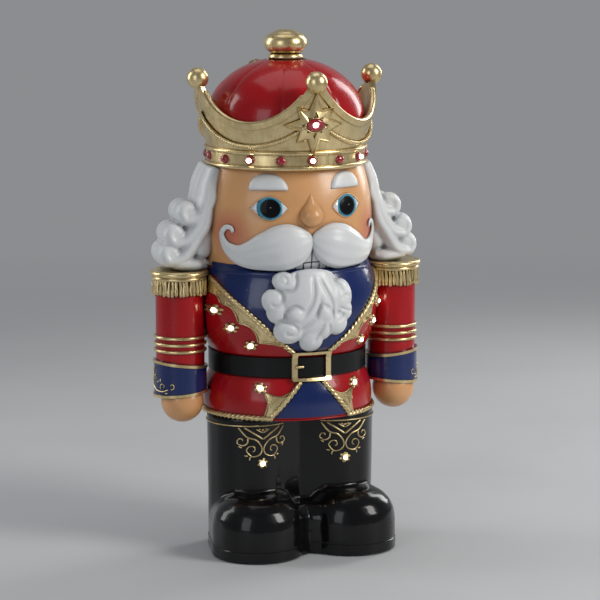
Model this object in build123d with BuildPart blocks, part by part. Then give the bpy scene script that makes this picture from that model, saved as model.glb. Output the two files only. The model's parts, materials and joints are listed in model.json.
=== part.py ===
"""Nutcracker king with LED lights: a hollow cast figure, its trim and its battery fittings.

Millimetres, +Z up, the figure faces -Y and stands on Z = 0 under the crown's axis.
"""
from build123d import *
import os
from math import cos, radians, sin, sqrt

os.makedirs("parts", exist_ok=True)

# ------------------------------------------------------------------ driving dimensions
# The castings stack up from the floor, each one seated on the deck of the one below.
pad_thickness = 1.2
sole_height = 13.0
boots_height = 148.0
coat_height = 174.0
head_height = 118.0
cap_height = 122.0
wall = 5.0
wire_way_radius = 14.0
led_radius = 2.5
led_gap = 0.1
led_proud = 4.0

# Boots: each foot is an upright shaft with a round toe in front of it.
leg_x = 48.5
leg_y = -16.0
leg_radius = 49.0
seat_y = -5.0
seat_top_radius = 88.0
seat_low_radius = 66.0
seat_height = 62.0
toe_x = 57.5
toe_y = -62.0
toe_radius = 51.0
toe_spring = 14.0
toe_height = 55.0
sole_overhang = 1.0
pad_inset = 3.0
boot_led_x = 51.0
boot_led_height = 94.0
boot_line_height = 138.0
boot_line_width = 3.0
boot_line_proud = 1.0

# Coat: drawn round as (radius, height above the hem), then pressed flatter front to back.
coat_y = -5.0
coat_flatness = 0.91
hem_radius = 100.0
skirt_radius = 101.5
waist_radius = 92.0
chest_radius = 107.5
shoulder_radius = 97.0
skirt_height = 22.0
waist_low = 51.0
waist_high = 73.0
chest_height = 118.0
lapel_proud = 2.6
vest_proud = 1.3
glue_gap = 0.1
rope_width = 6.0
rope_proud = 4.6
belt_height = 62.0
belt_width = 23.0
belt_proud = 2.6
buckle_half_width = 24.0
buckle_half_height = 17.0
buckle_bar = 6.5
buckle_proud = 3.6
buckle_lift = 1.5
prong_length = 30.0
prong_radius = 1.8
collar_radius = 5.4
collar_proud = 3.0
led_hole_radius = 3.0
COAT_LEDS = [(101.5, 127.0), (87.6, 108.0), (67.5, 88.0), (57.6, 38.5)]
LAPEL_EDGE = [(20, 79), (42, 97), (64, 119), (84, 139), (96, 155), (101, 166)]
LAPEL_CUSPS = [(22, 76), (61, 92), (82, 115), (97, 136), (104.5, 147)]
SKIRT_EDGE = [(13, 46), (30, 26), (48, 4)]
SKIRT_LACE = [(22, 36), (38, 28.5), (54, 33), (51.5, 20), (55, 4)]

# Arms
arm_x = 133.0
arm_y = -5.0
sleeve_radius = 28.6
cuff_radius = 31.0
cuff_top_height = 224.5
cuff_bottom_height = 187.2
cuff_top_rise = 0.114
cuff_bottom_rise = -0.09
piping_width = 3.2
piping_proud = 1.2
ring_rises = (15.0, 23.0, 31.0)
ring_radius = 1.9
hand_radius = 25.0
hand_y = -12.0
hand_drop = 8.5
epaulette_radius = 35.0
epaulette_thickness = 7.0
epaulette_drop = 2.8
epaulette_bead = 2.4
fringe_length = 21.0
fringe_tassels = 30
fringe_tassel_radius = 3.4
arm_gap = 0.3

# Head: drawn round as (radius, height above the shoulders), then pressed flatter.
head_flatness = 0.885
jaw_radius = 96.0
cheek_radius = 103.5
cheek_height = 50.0
crown_seat_radius = 92.0
eye_x = 47.0
eye_height = 74.5
eye_half_width = 20.5
eye_rise = 11.5
eye_proud = 1.2
brow_x = 46.5
brow_height = 95.0
brow_half_width = 20.5
brow_rise = 20.0
brow_proud = 3.2
nose_height = 68.0
nose_radius = 15.5
nose_depth = -90.0
nose_top = 92.0
teeth_half_width = 17.0
teeth_high = 24.0
teeth_proud = 3.2
moustache_proud = 14.0
beard_proud = 12.5
MOUSTACHE = [(0, 51), (8, 56), (24, 58), (42, 51), (64, 38), (78, 31), (88, 35), (91, 44), (95.5, 43),
             (94, 28), (84, 12), (70, 4), (52, 1), (34, 2.5), (14, 11), (0, 24)]
moustache_curl = (86.0, 44.0, 9.0)
BEARD_CURLS = [(-34, -6, 9), (-44, -29, 13), (-33, -48, 11), (-28, -66, 13.5), (-3, -76, 13),
               (19, -62, 12.5), (30, -58, 13), (35, -34, 14), (34, -10, 9)]
BEARD_CORE = [(-36, 4), (-44, -30), (-30, -68), (-4, -80), (28, -62), (38, -30), (34, 4)]

# Hair: three rolled curls stand at each side of the head, over the shoulder.
CURLS = [(125.5, 67, 16.5), (139.5, 40, 18), (149.5, 18.5, 18.5)]
STRAND = [(84, 116), (96, 114), (100, 101), (106, 91), (114, 83)]
hair_front_y = -30.0
hair_back_y = 46.0
back_hair_low_radius = 124.0
back_hair_top_radius = 97.0
back_hair_waist_radius = 112.0

# Crown
band_height = 20.0
band_radius = 94.0
band_bead = 2.6
crown_floor = 3.0
crown_bore = 70.0
crown_wall = 5.0
CROWN_FLARE = [(93.5, 20), (96, 31), (100.5, 51), (105, 76), (107.5, 112)]
point_ball_radius = 12.7
point_ball_reach = 108.0
point_ball_height = 102.0
dip_height = 54.0
dip_radius = 78.0
rim_width = 7.0
rim_proud = 2.2
swag_drop = 27.0
swag_radius = 96.0
swag_width = 3.4
swag_proud = 2.0
star_height = 53.0
star_long = 35.0
star_short = 22.0
star_valley = 12.0
star_proud = 3.0
gem_count = 16
gem_radius = 5.2
gem_proud = 3.4
lit_gems = (0, 2, 14)
star_gem_half_width = 11.0
star_gem_half_height = 8.0
star_gem_proud = 2.0
cap_radius = 94.0
cap_spring_height = 54.0
seam_width = 2.0
seam_depth = 0.9
seam_count = 8
finial_foot_radius = 20.5
finial_radius = 25.4
finial_height = 35.0
finial_neck_radius = 16.5
finial_bead = 1.5
finial_dome = 15.0
finial_cushion = 4.5
finial_flat_radius = 3.0
peg_radius = 6.0
peg_length = 8.0

# Battery fittings in the coat's back
bezel_half_width = 37.0
bezel_low = 88.0
bezel_high = 162.0
bezel_corner = 5.0
bezel_thickness = 12.0
bezel_face_y = 93.0
opening_half_width = 28.0
opening_inset = 2.4
seat_gap = 0.2
door_half_width = 26.0
door_low = 94.0
door_height = 54.0
door_thickness = 2.0
door_gap = 0.5
door_inset = 3.0
hinge_radius = 2.2
hinge_clearance = 0.6
trunnion_radius = 1.4
trunnion_length = 3.0
running_gap = 0.05
ledge_width = 2.5
tongue_half_width = 5.0
tongue_height = 3.0
tongue_thickness = 1.2
tray_depth = 20.0
tray_wall = 1.5
cell_radius = 7.1
cell_length = 50.0
cell_pitch = 15.5
cell_count = 3
nub_radius = 2.7
nub_height = 1.0
contact_thickness = 0.5
contact_half_width = 6.0
screw_inset = 5.0
screw_head_radius = 3.0
screw_head_height = 2.0
screw_shank_radius = 1.5
screw_length = 10.0
slot_half_width = 6.3
slot_half_height = 2.6
knob_half_width = 3.0
knob_half_height = 2.1
knob_proud = 2.4
switch_height = 154.8
switch_depth = 6.0
switch_wall = 0.9
board_half_width = 22.0
board_height = 40.0
board_thickness = 1.6
chip_half_size = 6.0
chip_thickness = 2.0

# ------------------------------------------------------------------ levels
boots_z = pad_thickness + sole_height
hem_z = boots_z + boots_height
shoulder_z = hem_z + coat_height
brow_z = shoulder_z + head_height
finial_z = brow_z + cap_height


# ------------------------------------------------------------------ shared shapes
def coat_body(grow=0.0, top=None, low=0.0):
    """Round coat, before it is pressed flatter, larger all round by grow."""
    top = coat_height if top is None else top
    with BuildPart() as body:
        with BuildSketch(Plane.XZ):
            with BuildLine():
                Line((0, hem_z), (hem_radius + grow, hem_z))
                ThreePointArc((hem_radius + grow, hem_z), (skirt_radius + grow, hem_z + skirt_height),
                              (waist_radius + grow, hem_z + waist_low))
                Line((waist_radius + grow, hem_z + waist_low), (waist_radius + grow, hem_z + waist_high))
                ThreePointArc((waist_radius + grow, hem_z + waist_high),
                              (chest_radius + grow, hem_z + chest_height),
                              (shoulder_radius + grow, shoulder_z))
                Line((shoulder_radius + grow, shoulder_z), (0, shoulder_z))
                Line((0, shoulder_z), (0, hem_z))
            make_face()
        revolve(axis=Axis.Z)
        if low or top < coat_height:
            with BuildSketch(Plane.XY.offset(hem_z + low)):
                Circle(2 * hem_radius)
            extrude(amount=top - low, mode=Mode.INTERSECT)
    return body.part


def head_body(grow=0.0, top=None):
    """Round head, before it is pressed flatter, larger all round by grow."""
    with BuildPart() as body:
        with BuildSketch(Plane.XZ):
            with BuildLine():
                Line((0, shoulder_z), (jaw_radius + grow, shoulder_z))
                ThreePointArc((jaw_radius + grow, shoulder_z),
                              (cheek_radius + grow, shoulder_z + cheek_height),
                              (crown_seat_radius + grow, brow_z))
                Line((crown_seat_radius + grow, brow_z), (0, brow_z))
                Line((0, brow_z), (0, shoulder_z))
            make_face()
        revolve(axis=Axis.Z)
        if top is not None:
            with BuildSketch(Plane.XY.offset(shoulder_z)):
                Circle(2 * cheek_radius)
            extrude(amount=top, mode=Mode.INTERSECT)
    return body.part


def pressed(shape, flatness, centre_y=0.0):
    """The shape pressed flatter front to back, then moved to its centre line."""
    return scale(shape, by=(1, flatness, 1)).moved(Location((0, centre_y, 0)))


def on_coat(shape):
    return pressed(shape, coat_flatness, coat_y)


def on_head(shape):
    return pressed(shape, head_flatness)


def save(shape, name):
    """Label one finished piece and write it as parts/<name>.step."""
    shape.label = name
    export_step(shape, f"parts/{name}.step")


def group(shapes):
    """Separate solids of one kind, kept together as one node."""
    with BuildPart() as together:
        for shape in shapes:
            add(shape)
    return together.part


def coat_radius(height):
    """Radius of the round coat at a height, from its two arcs and its waist."""
    low, high = waist_low, waist_high
    if low <= height <= high:
        return waist_radius
    if height < low:
        points = ((hem_radius, 0), (skirt_radius, skirt_height), (waist_radius, low))
    else:
        points = ((waist_radius, high), (chest_radius, chest_height), (shoulder_radius, coat_height))
    arc = ThreePointArc(*points)
    centre, radius = arc.arc_center, arc.radius
    return centre.X + sqrt(radius**2 - (height - centre.Y) ** 2)


def facing_plane(x, y, z):
    """Plane at a point, facing straight away from the vertical axis."""
    return Plane(origin=(x, y, z), z_dir=Vector(x, y, 0).normalized())


def pressed_plane(plane, flatness, centre_y):
    """Where a plane lands when the round body is pressed flatter."""
    origin, out = plane.origin, plane.z_dir
    return Plane(origin=(origin.X, centre_y + flatness * origin.Y, origin.Z),
                 z_dir=Vector(out.X, flatness * out.Y, 0).normalized())


def round_plane(angle, height, radius):
    """Plane that faces out from the crown's axis, at an angle from the front."""
    x, y = radius * sin(radians(angle)), -radius * cos(radians(angle))
    return facing_plane(x, y, brow_z + height)


def studs(planes, radius, low, high):
    """Round pegs that stand on each plane, from low to high along its normal."""
    with BuildPart() as pegs:
        for plane in planes:
            with BuildSketch(plane.offset(low)):
                Circle(radius)
            extrude(amount=high - low)
    return pegs.part


def led_lamps(planes, depth):
    """Round-ended LEDs that reach back through the wall they shine through."""
    with BuildPart() as lamps:
        add(studs(planes, led_radius, -depth, led_proud - led_radius))
        for plane in planes:
            with Locations(plane.offset(led_proud - led_radius)):
                Sphere(led_radius)
    return lamps.part


def slab(low, high, half_size=200.0):
    """Flat block between two heights, wide enough to trim any piece."""
    with BuildPart() as block:
        with BuildSketch(Plane.XY.offset(low)):
            Rectangle(2 * half_size, 2 * half_size)
        extrude(amount=high - low)
    return block.part


def pushed_forward(outline, base_z):
    """Prism of a front-view outline, pushed towards the front from the middle."""
    with BuildPart() as prism:
        with BuildSketch(Plane.XZ):
            with Locations((0, base_z)):
                add(outline)
        extrude(amount=250)
    return prism.part


# ------------------------------------------------------------------ boots
def toe_body(grow=0.0):
    """Round toe cap: straight at the welt and domed above it."""
    rise = toe_height - toe_spring
    low_radius = toe_radius - 1.5 + grow
    with BuildPart() as toe:
        with BuildSketch(Plane.XZ):
            with BuildLine():
                Line((0, 0), (low_radius, 0))
                Line((low_radius, 0), (toe_radius + grow, toe_spring))
                EllipticalCenterArc((0, toe_spring), toe_radius + grow, rise + grow, 0, arc_size=90)
                Line((0, toe_height + grow), (0, 0))
            make_face()
        revolve(axis=Axis.Z)
    return toe.part


def boots_body(grow=0.0, top=boots_height):
    """Both boots and the seat of the trousers above them."""
    with BuildPart() as body:
        for side in (-1, 1):
            with BuildSketch(Plane.XY.offset(boots_z)):
                with Locations((side * leg_x, leg_y)):
                    Circle(leg_radius + grow)
            extrude(amount=top)
            add(toe_body(grow).moved(Location((side * toe_x, toe_y, boots_z))))
        with BuildSketch(Plane.XZ.offset(-seat_y)):
            Polygon((0, boots_z + seat_height), (seat_low_radius + grow, boots_z + seat_height),
                    (seat_top_radius + grow, boots_z + top), (0, boots_z + top), align=None)
        revolve(axis=Axis((0, seat_y, 0), (0, 0, 1)))
    return body.part


boot_led_y = leg_y - sqrt(leg_radius**2 - (boot_led_x - leg_x) ** 2)
boot_led_planes = [Plane(origin=(s * boot_led_x, boot_led_y, boots_z + boot_led_height),
                         z_dir=(0, -1, 0)) for s in (-1, 1)]
boots_outside = boots_body()
with BuildPart() as boots:
    add(boots_outside)
    add(boots_body(-wall, boots_height - wall), mode=Mode.SUBTRACT)
    with BuildSketch(Plane.XY.offset(hem_z)):
        Circle(wire_way_radius)
    extrude(amount=-2 * wall, mode=Mode.SUBTRACT)
    add(studs(boot_led_planes, led_hole_radius, -4 * wall, led_proud), mode=Mode.SUBTRACT)
save(boots.part, "boots")


def sole_outline(grow):
    """Footprint of both boots with the web between them."""
    with BuildSketch() as outline:
        for side in (-1, 1):
            with Locations((side * leg_x, leg_y)):
                Circle(leg_radius + grow)
            with Locations((side * toe_x, toe_y)):
                Circle(toe_radius - 1.5 + grow)
        Rectangle(leg_x, leg_radius + leg_y)
    return outline.sketch


with BuildPart() as soles:
    with BuildSketch(Plane.XY.offset(pad_thickness)):
        add(sole_outline(sole_overhang))
    extrude(amount=sole_height)
save(soles.part, "soles")

with BuildPart() as base_pad:
    with BuildSketch():
        add(sole_outline(-pad_inset))
    extrude(amount=pad_thickness)
save(base_pad.part, "base_pad")

with BuildPart() as boot_piping:
    line_z = boots_z + boot_line_height
    add(boots_body(boot_line_proud))
    add(slab(line_z, line_z + boot_line_width), mode=Mode.INTERSECT)
    add(boots_outside, mode=Mode.SUBTRACT)
save(boot_piping.part, "boot_piping")
save(led_lamps(boot_led_planes, wall + 3), "boot_leds")

with BuildPart() as boot_led_collars:
    add(studs(boot_led_planes, collar_radius, -wall, collar_proud))
    add(studs(boot_led_planes, led_hole_radius, -2 * wall, 2 * wall), mode=Mode.SUBTRACT)
    add(boots_outside, mode=Mode.SUBTRACT)

# ------------------------------------------------------------------ coat
coat_led_planes = [facing_plane(s * x, -sqrt(coat_radius(height) ** 2 - x**2), hem_z + height)
                   for x, height in COAT_LEDS for s in (-1, 1)]
bezel_z = hem_z + (bezel_low + bezel_high) / 2
bezel_height = bezel_high - bezel_low
screw_places = [(s * (bezel_half_width - screw_inset), bezel_z + t * (bezel_height / 2 - screw_inset))
                for s in (-1, 1) for t in (-1, 1)]


def before_pressing(y):
    """Where a depth on the finished coat lies on the coat before it is pressed flatter."""
    return (y - coat_y) / coat_flatness


def bezel_block(grow, near_y, far_y):
    """Rounded block behind the bezel's outline, between two depths."""
    with BuildPart() as block:
        with BuildSketch(Plane.XZ.offset(-far_y)):
            with Locations((0, bezel_z)):
                RectangleRounded(2 * (bezel_half_width + grow), bezel_height + 2 * grow,
                                 bezel_corner + grow)
        extrude(amount=far_y - near_y)
    return block.part


bezel_back_y = bezel_face_y - bezel_thickness
boss_y = before_pressing(bezel_back_y - wall)
pocket_y = before_pressing(bezel_back_y - seat_gap)
screw_tip_y = before_pressing(bezel_back_y - wall - 1)
outside_y = 2 * chest_radius
coat_outside = coat_body()
with BuildPart() as coat:
    add(coat_outside)
    add(coat_body(-wall, coat_height - wall), mode=Mode.SUBTRACT)
    with BuildSketch(Plane.XY.offset(shoulder_z)):
        Circle(wire_way_radius)
    extrude(amount=-2 * wall, mode=Mode.SUBTRACT)
    add(studs(coat_led_planes, led_hole_radius, -4 * wall, led_proud), mode=Mode.SUBTRACT)
    add(bezel_block(wall, boss_y, outside_y) & coat_outside)
    add(bezel_block(seat_gap, pocket_y, outside_y), mode=Mode.SUBTRACT)
    with BuildSketch(Plane.XZ.offset(-outside_y)):
        with Locations((0, bezel_z)):
            Rectangle(2 * opening_half_width, bezel_height - 2 * opening_inset)
    extrude(amount=outside_y, mode=Mode.SUBTRACT)
    with BuildSketch(Plane.XZ.offset(-outside_y)):
        with Locations(*screw_places):
            Circle(screw_shank_radius + led_gap)
    extrude(amount=outside_y - screw_tip_y, mode=Mode.SUBTRACT)
save(on_coat(coat.part), "coat")

rope_skin = coat_body(rope_proud) - coat_outside
lapel_skin = coat_body(lapel_proud) - coat_outside
vest_skin = coat_body(vest_proud) - coat_body(glue_gap)
collar_pegs = studs(coat_led_planes, collar_radius, -wall, collar_proud)


def edge_strip(points, width, side):
    """Strip of even width along an edge on one side of the coat."""
    with BuildSketch() as strip:
        with BuildLine():
            Spline(*[(side * x, z) for x, z in points])
        trace(line_width=width)
    return strip.sketch


def lapel_outline(side):
    """Lace between the lapel's rope and its scallops, which meet at the lights."""
    rope_line = [(side * x, z) for x, z in LAPEL_EDGE]
    cusps = [(side * x, z) for x, z in LAPEL_CUSPS]
    with BuildSketch() as lace:
        with BuildLine():
            Polyline(rope_line)
            Line(rope_line[-1], cusps[-1])
            for (x1, z1), (x2, z2) in zip(cusps[:-1], cusps[1:]):
                middle = (0.66 * x1 + 0.34 * x2, 0.34 * z1 + 0.66 * z2 + 1.5)
                ThreePointArc((x1, z1), middle, (x2, z2))
            Line(cusps[0], rope_line[0])
        make_face()
    return lace.sketch


def skirt_outline(side):
    """Lace beside the skirt's rope, drawn out to a point at its light."""
    start, upper, light, lower, foot = [(side * x, z) for x, z in SKIRT_LACE]
    with BuildSketch() as lace:
        with BuildLine():
            Polyline(start, *[(side * x, z) for x, z in SKIRT_EDGE[1:]])
            ThreePointArc(start, upper, light)
            ThreePointArc(light, lower, foot)
            Line(foot, (side * SKIRT_EDGE[-1][0], SKIRT_EDGE[-1][1]))
        make_face()
    return lace.sketch


def vest_outline():
    """Chest opening between the lapels and the flap below the belt."""
    collar = [(LAPEL_EDGE[-1][0], coat_height - 1)]
    with BuildSketch() as vest:
        for edge in (LAPEL_EDGE + collar, SKIRT_EDGE):
            Polygon(*edge, *[(-x, z) for x, z in reversed(edge)], align=None)
    return vest.sketch


buckle_z = hem_z + belt_height
with BuildPart() as belt:
    add(coat_body(belt_proud))
    add(slab(buckle_z - belt_width / 2, buckle_z + belt_width / 2), mode=Mode.INTERSECT)
    add(coat_outside, mode=Mode.SUBTRACT)
save(on_coat(belt.part), "belt")

with BuildPart() as buckle_frame:
    with BuildSketch(Plane.XZ):
        with Locations((0, buckle_z + buckle_lift)):
            RectangleRounded(2 * buckle_half_width, 2 * buckle_half_height, 2)
            RectangleRounded(2 * (buckle_half_width - buckle_bar),
                             2 * (buckle_half_height - buckle_bar / 2), 1.5, mode=Mode.SUBTRACT)
    extrude(amount=200)
    add(coat_body(belt_proud + buckle_proud) - coat_body(belt_proud), mode=Mode.INTERSECT)
save(on_coat(buckle_frame.part), "buckle_frame")

with BuildPart() as buckle_prong:
    with BuildSketch(Plane.YZ.offset(-buckle_half_width + buckle_bar / 2)):
        with Locations((-waist_radius - belt_proud - buckle_proud, buckle_z + buckle_lift)):
            Circle(prong_radius)
    extrude(amount=prong_length)
    add(buckle_frame.part, mode=Mode.SUBTRACT)
    add(coat_body(belt_proud), mode=Mode.SUBTRACT)
save(on_coat(buckle_prong.part), "buckle_prong")

with BuildPart() as hem_rope:
    add(rope_skin)
    add(slab(hem_z, hem_z + rope_width), mode=Mode.INTERSECT)
    with BuildSketch(Plane.XZ):
        with Locations((0, hem_z)):
            Rectangle(2 * SKIRT_EDGE[-1][0] + rope_width, 3 * rope_width)
    extrude(amount=200, mode=Mode.SUBTRACT)
save(on_coat(hem_rope.part), "hem_rope")

carved = []
lapels = {}
skirt_laces = []
for side, name in ((-1, "right"), (1, "left")):
    with BuildPart() as lapel_rope:
        add(pushed_forward(edge_strip(LAPEL_EDGE, rope_width, side), hem_z) & rope_skin)
        add(buckle_frame.part, mode=Mode.SUBTRACT)
    save(on_coat(lapel_rope.part), "lapel_rope_" + name)

    with BuildPart() as lapel_lace:
        add(pushed_forward(lapel_outline(side), hem_z) & lapel_skin)
        add(lapel_rope.part, mode=Mode.SUBTRACT)
        add(belt.part, mode=Mode.SUBTRACT)
        add(collar_pegs, mode=Mode.SUBTRACT)

    with BuildPart() as skirt_rope:
        add(pushed_forward(edge_strip(SKIRT_EDGE, rope_width, side), hem_z) & rope_skin)
        add(belt.part, mode=Mode.SUBTRACT)
        add(buckle_frame.part, mode=Mode.SUBTRACT)
    save(on_coat(skirt_rope.part), "skirt_rope_" + name)

    with BuildPart() as skirt_lace:
        add(pushed_forward(skirt_outline(side), hem_z) & lapel_skin)
        add(skirt_rope.part, mode=Mode.SUBTRACT)
        add(hem_rope.part, mode=Mode.SUBTRACT)
        add(collar_pegs, mode=Mode.SUBTRACT)
    carved += [lapel_rope.part, skirt_rope.part, lapel_lace.part, skirt_lace.part]
    lapels[side] = [lapel_rope.part, lapel_lace.part]
    skirt_laces += [on_coat(skirt_lace.part)]
save(group([on_coat(lace) for _, lace in lapels.values()]), "lapel_lace")
save(group(skirt_laces), "skirt_lace")

with BuildPart() as vest:
    add(pushed_forward(vest_outline(), hem_z) & vest_skin)
    for trim in carved + [hem_rope.part, belt.part, buckle_frame.part]:
        add(trim, mode=Mode.SUBTRACT)
save(on_coat(vest.part), "vest")

with BuildPart() as led_collars:
    add(collar_pegs)
    add(studs(coat_led_planes, led_hole_radius, -2 * wall, 2 * wall), mode=Mode.SUBTRACT)
    add(coat_outside, mode=Mode.SUBTRACT)
save(group([on_coat(led_collars.part), boot_led_collars.part]), "led_collars")
save(led_lamps([pressed_plane(p, coat_flatness, coat_y) for p in coat_led_planes], wall + 3),
     "coat_leds")

# ------------------------------------------------------------------ arms
pressed_coat = on_coat(coat_outside)
epaulette_z = shoulder_z - epaulette_drop
sleeve_top_z = epaulette_z - epaulette_thickness
arm_trim = {"sleeve_rings": [], "cuff_piping": []}
for side, name in ((-1, "right"), (1, "left")):
    centre = (side * arm_x, arm_y)
    cuff_top = Plane(origin=(*centre, cuff_top_height), z_dir=(-side * cuff_top_rise, 0, 1))
    cuff_bottom = Plane(origin=(*centre, cuff_bottom_height),
                        z_dir=(-side * cuff_bottom_rise, 0, 1))

    with BuildPart() as sleeve:
        with BuildSketch(Plane.XY.offset(cuff_bottom_height)):
            with Locations(centre):
                Circle(sleeve_radius)
        extrude(amount=sleeve_top_z - cuff_bottom_height)
        split(bisect_by=cuff_top, keep=Keep.TOP)
        add(pressed_coat, mode=Mode.SUBTRACT)
    save(sleeve.part, "sleeve_" + name)

    with BuildPart() as sleeve_rings:
        for rise in ring_rises:
            with Locations((*centre, cuff_top_height + rise)):
                Torus(sleeve_radius + ring_radius * 0.4, ring_radius)
        with BuildSketch(Plane.XY.offset(cuff_bottom_height)):
            with Locations(centre):
                Circle(sleeve_radius)
        extrude(amount=sleeve_top_z - cuff_bottom_height, mode=Mode.SUBTRACT)
        add(pressed_coat, mode=Mode.SUBTRACT)
    arm_trim["sleeve_rings"].append(sleeve_rings.part)

    with BuildPart() as cuff:
        with BuildSketch(Plane.XY.offset(cuff_bottom_height - cuff_radius)):
            with Locations(centre):
                Circle(cuff_radius)
        extrude(amount=3 * cuff_radius)
        split(bisect_by=cuff_top, keep=Keep.BOTTOM)
        split(bisect_by=cuff_bottom, keep=Keep.TOP)
    save(cuff.part, "cuff_" + name)

    with BuildPart() as cuff_piping:
        for edge, start in ((cuff_top, -piping_width), (cuff_bottom, 0)):
            with BuildPart(mode=Mode.PRIVATE) as ring:
                with BuildSketch(Plane.XY.offset(cuff_bottom_height - cuff_radius)):
                    with Locations(centre):
                        Circle(cuff_radius + piping_proud)
                        Circle(cuff_radius, mode=Mode.SUBTRACT)
                extrude(amount=3 * cuff_radius)
                split(bisect_by=edge.offset(start), keep=Keep.TOP)
                split(bisect_by=edge.offset(start + piping_width), keep=Keep.BOTTOM)
            add(ring.part)
    arm_trim["cuff_piping"].append(cuff_piping.part)

    with BuildPart() as hand:
        with Locations((side * arm_x, hand_y, cuff_bottom_height - hand_drop)):
            Sphere(hand_radius)
        split(bisect_by=cuff_bottom, keep=Keep.BOTTOM)
    save(hand.part, "hand_" + name)

    with BuildPart() as epaulette:
        with BuildSketch(Plane.XZ.offset(-arm_y)):
            with BuildLine():
                rim_r = epaulette_radius - epaulette_bead
                Line((0, sleeve_top_z), (rim_r, sleeve_top_z))
                ThreePointArc((rim_r, sleeve_top_z), (epaulette_radius, sleeve_top_z + epaulette_bead),
                              (rim_r, sleeve_top_z + 2 * epaulette_bead))
                Line((rim_r, sleeve_top_z + 2 * epaulette_bead), (rim_r * 0.6, epaulette_z))
                Line((rim_r * 0.6, epaulette_z), (0, epaulette_z))
                Line((0, epaulette_z), (0, sleeve_top_z))
            make_face()
        revolve(axis=Axis((0, arm_y, 0), (0, 0, 1)))
    shoulder_trim = [pressed_coat] + [on_coat(trim) for trim in lapels[side] + [vest.part]]
    save(epaulette.part.moved(Location((side * arm_x, 0, 0))) - shoulder_trim, "epaulette_" + name)

    with BuildPart() as fringe:
        with BuildSketch(Plane.XY.offset(sleeve_top_z)):
            with Locations(centre):
                with PolarLocations(sleeve_radius + fringe_tassel_radius - 1, fringe_tassels):
                    Circle(fringe_tassel_radius)
                Circle(sleeve_radius + arm_gap, mode=Mode.SUBTRACT)
        extrude(amount=-fringe_length)
        for trim in shoulder_trim:
            add(trim, mode=Mode.SUBTRACT)
    save(fringe.part, "fringe_" + name)

for name, pair in arm_trim.items():
    save(group(pair), name)

# ------------------------------------------------------------------ head
with BuildPart() as nose:
    with BuildSketch(Plane.XZ):
        with BuildLine():
            low, wide, high = nose_height - nose_radius + 2, nose_height, nose_top
            ThreePointArc((0, low), (nose_radius * 0.75, low + 4.5), (nose_radius, wide))
            Spline((nose_radius, wide), (nose_radius * 0.62, wide + 12), (0, high),
                   tangents=((0, 1), (-0.25, 1)))
            Line((0, high), (0, low))
        make_face()
    revolve(axis=Axis.Z)
nose_solid = nose.part.moved(Location((0, nose_depth, shoulder_z)))

head_outside = head_body()
with BuildPart() as head:
    add(head_outside)
    add(nose_solid)
    add(head_body(-wall, head_height - wall), mode=Mode.SUBTRACT)
    with BuildSketch(Plane.XY.offset(brow_z)):
        Circle(wire_way_radius)
    extrude(amount=-2 * wall, mode=Mode.SUBTRACT)
save(on_head(head.part), "head")


def almond(half_width, rise):
    """Pointed oval between two equal arcs."""
    with BuildSketch() as eye:
        with BuildLine():
            ThreePointArc((-half_width, 0), (0, rise), (half_width, 0))
            ThreePointArc((half_width, 0), (0, -rise), (-half_width, 0))
        make_face()
    return eye.sketch


def half_disc(half_width, rise):
    """Flat-bottomed arch of an eyebrow."""
    with BuildSketch() as arch:
        with BuildLine():
            Line((-half_width, 0), (half_width, 0))
            ThreePointArc((half_width, 0), (0, rise), (-half_width, 0))
        make_face()
    return arch.sketch


brow_skin = head_body(brow_proud) - head_outside
eye_skin = head_body(eye_proud) - head_outside
brows = []
for side, name in ((-1, "right"), (1, "left")):
    with BuildPart() as eye:
        with BuildSketch(Plane.XZ):
            with Locations((side * eye_x, shoulder_z + eye_height)):
                add(almond(eye_half_width, eye_rise))
        extrude(amount=200)
        add(eye_skin, mode=Mode.INTERSECT)
    save(on_head(eye.part), "eye_" + name)

    with BuildPart() as eyebrow:
        with BuildSketch(Plane.XZ):
            with Locations((side * brow_x, shoulder_z + brow_height)):
                add(half_disc(brow_half_width, brow_rise))
        extrude(amount=200)
        add(brow_skin, mode=Mode.INTERSECT)
    brows.append(on_head(eyebrow.part))
save(group(brows), "eyebrows")

moustache_skin = head_body(moustache_proud) - head_outside
curl_x, curl_z, curl_r = moustache_curl
with BuildPart() as moustache:
    for side in (-1, 1):
        with BuildSketch(Plane.XZ):
            with BuildLine():
                points = [(side * x, shoulder_z + z) for x, z in MOUSTACHE]
                Spline(*points)
                Line(points[-1], points[0])
            make_face()
            with Locations((side * curl_x, shoulder_z + curl_z)):
                Circle(curl_r)
        extrude(amount=200)
    add(moustache_skin, mode=Mode.INTERSECT)
    add(nose_solid, mode=Mode.SUBTRACT)
save(on_head(moustache.part), "moustache")

with BuildPart() as teeth:
    with BuildSketch(Plane.XZ):
        with Locations((0, shoulder_z + teeth_high / 2)):
            Rectangle(2 * teeth_half_width, teeth_high)
    extrude(amount=200)
    add(head_body(teeth_proud) - head_outside, mode=Mode.INTERSECT)
    add(moustache.part, mode=Mode.SUBTRACT)
save(on_head(teeth.part), "teeth")

with BuildPart() as beard:
    with BuildSketch(Plane.XZ):
        Polygon(*[(x, shoulder_z + z) for x, z in BEARD_CORE], align=None)
        for x, z, radius in BEARD_CURLS:
            with Locations((x, shoulder_z + z)):
                Circle(radius)
        with Locations((0, shoulder_z - coat_height / 2)):
            Rectangle(200, coat_height, mode=Mode.INTERSECT)
    extrude(amount=200)
    add(coat_body(beard_proud) - coat_outside, mode=Mode.INTERSECT)
    for trim in carved + [vest.part, buckle_frame.part]:
        add(trim, mode=Mode.SUBTRACT)
save(on_coat(beard.part), "beard")

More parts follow.
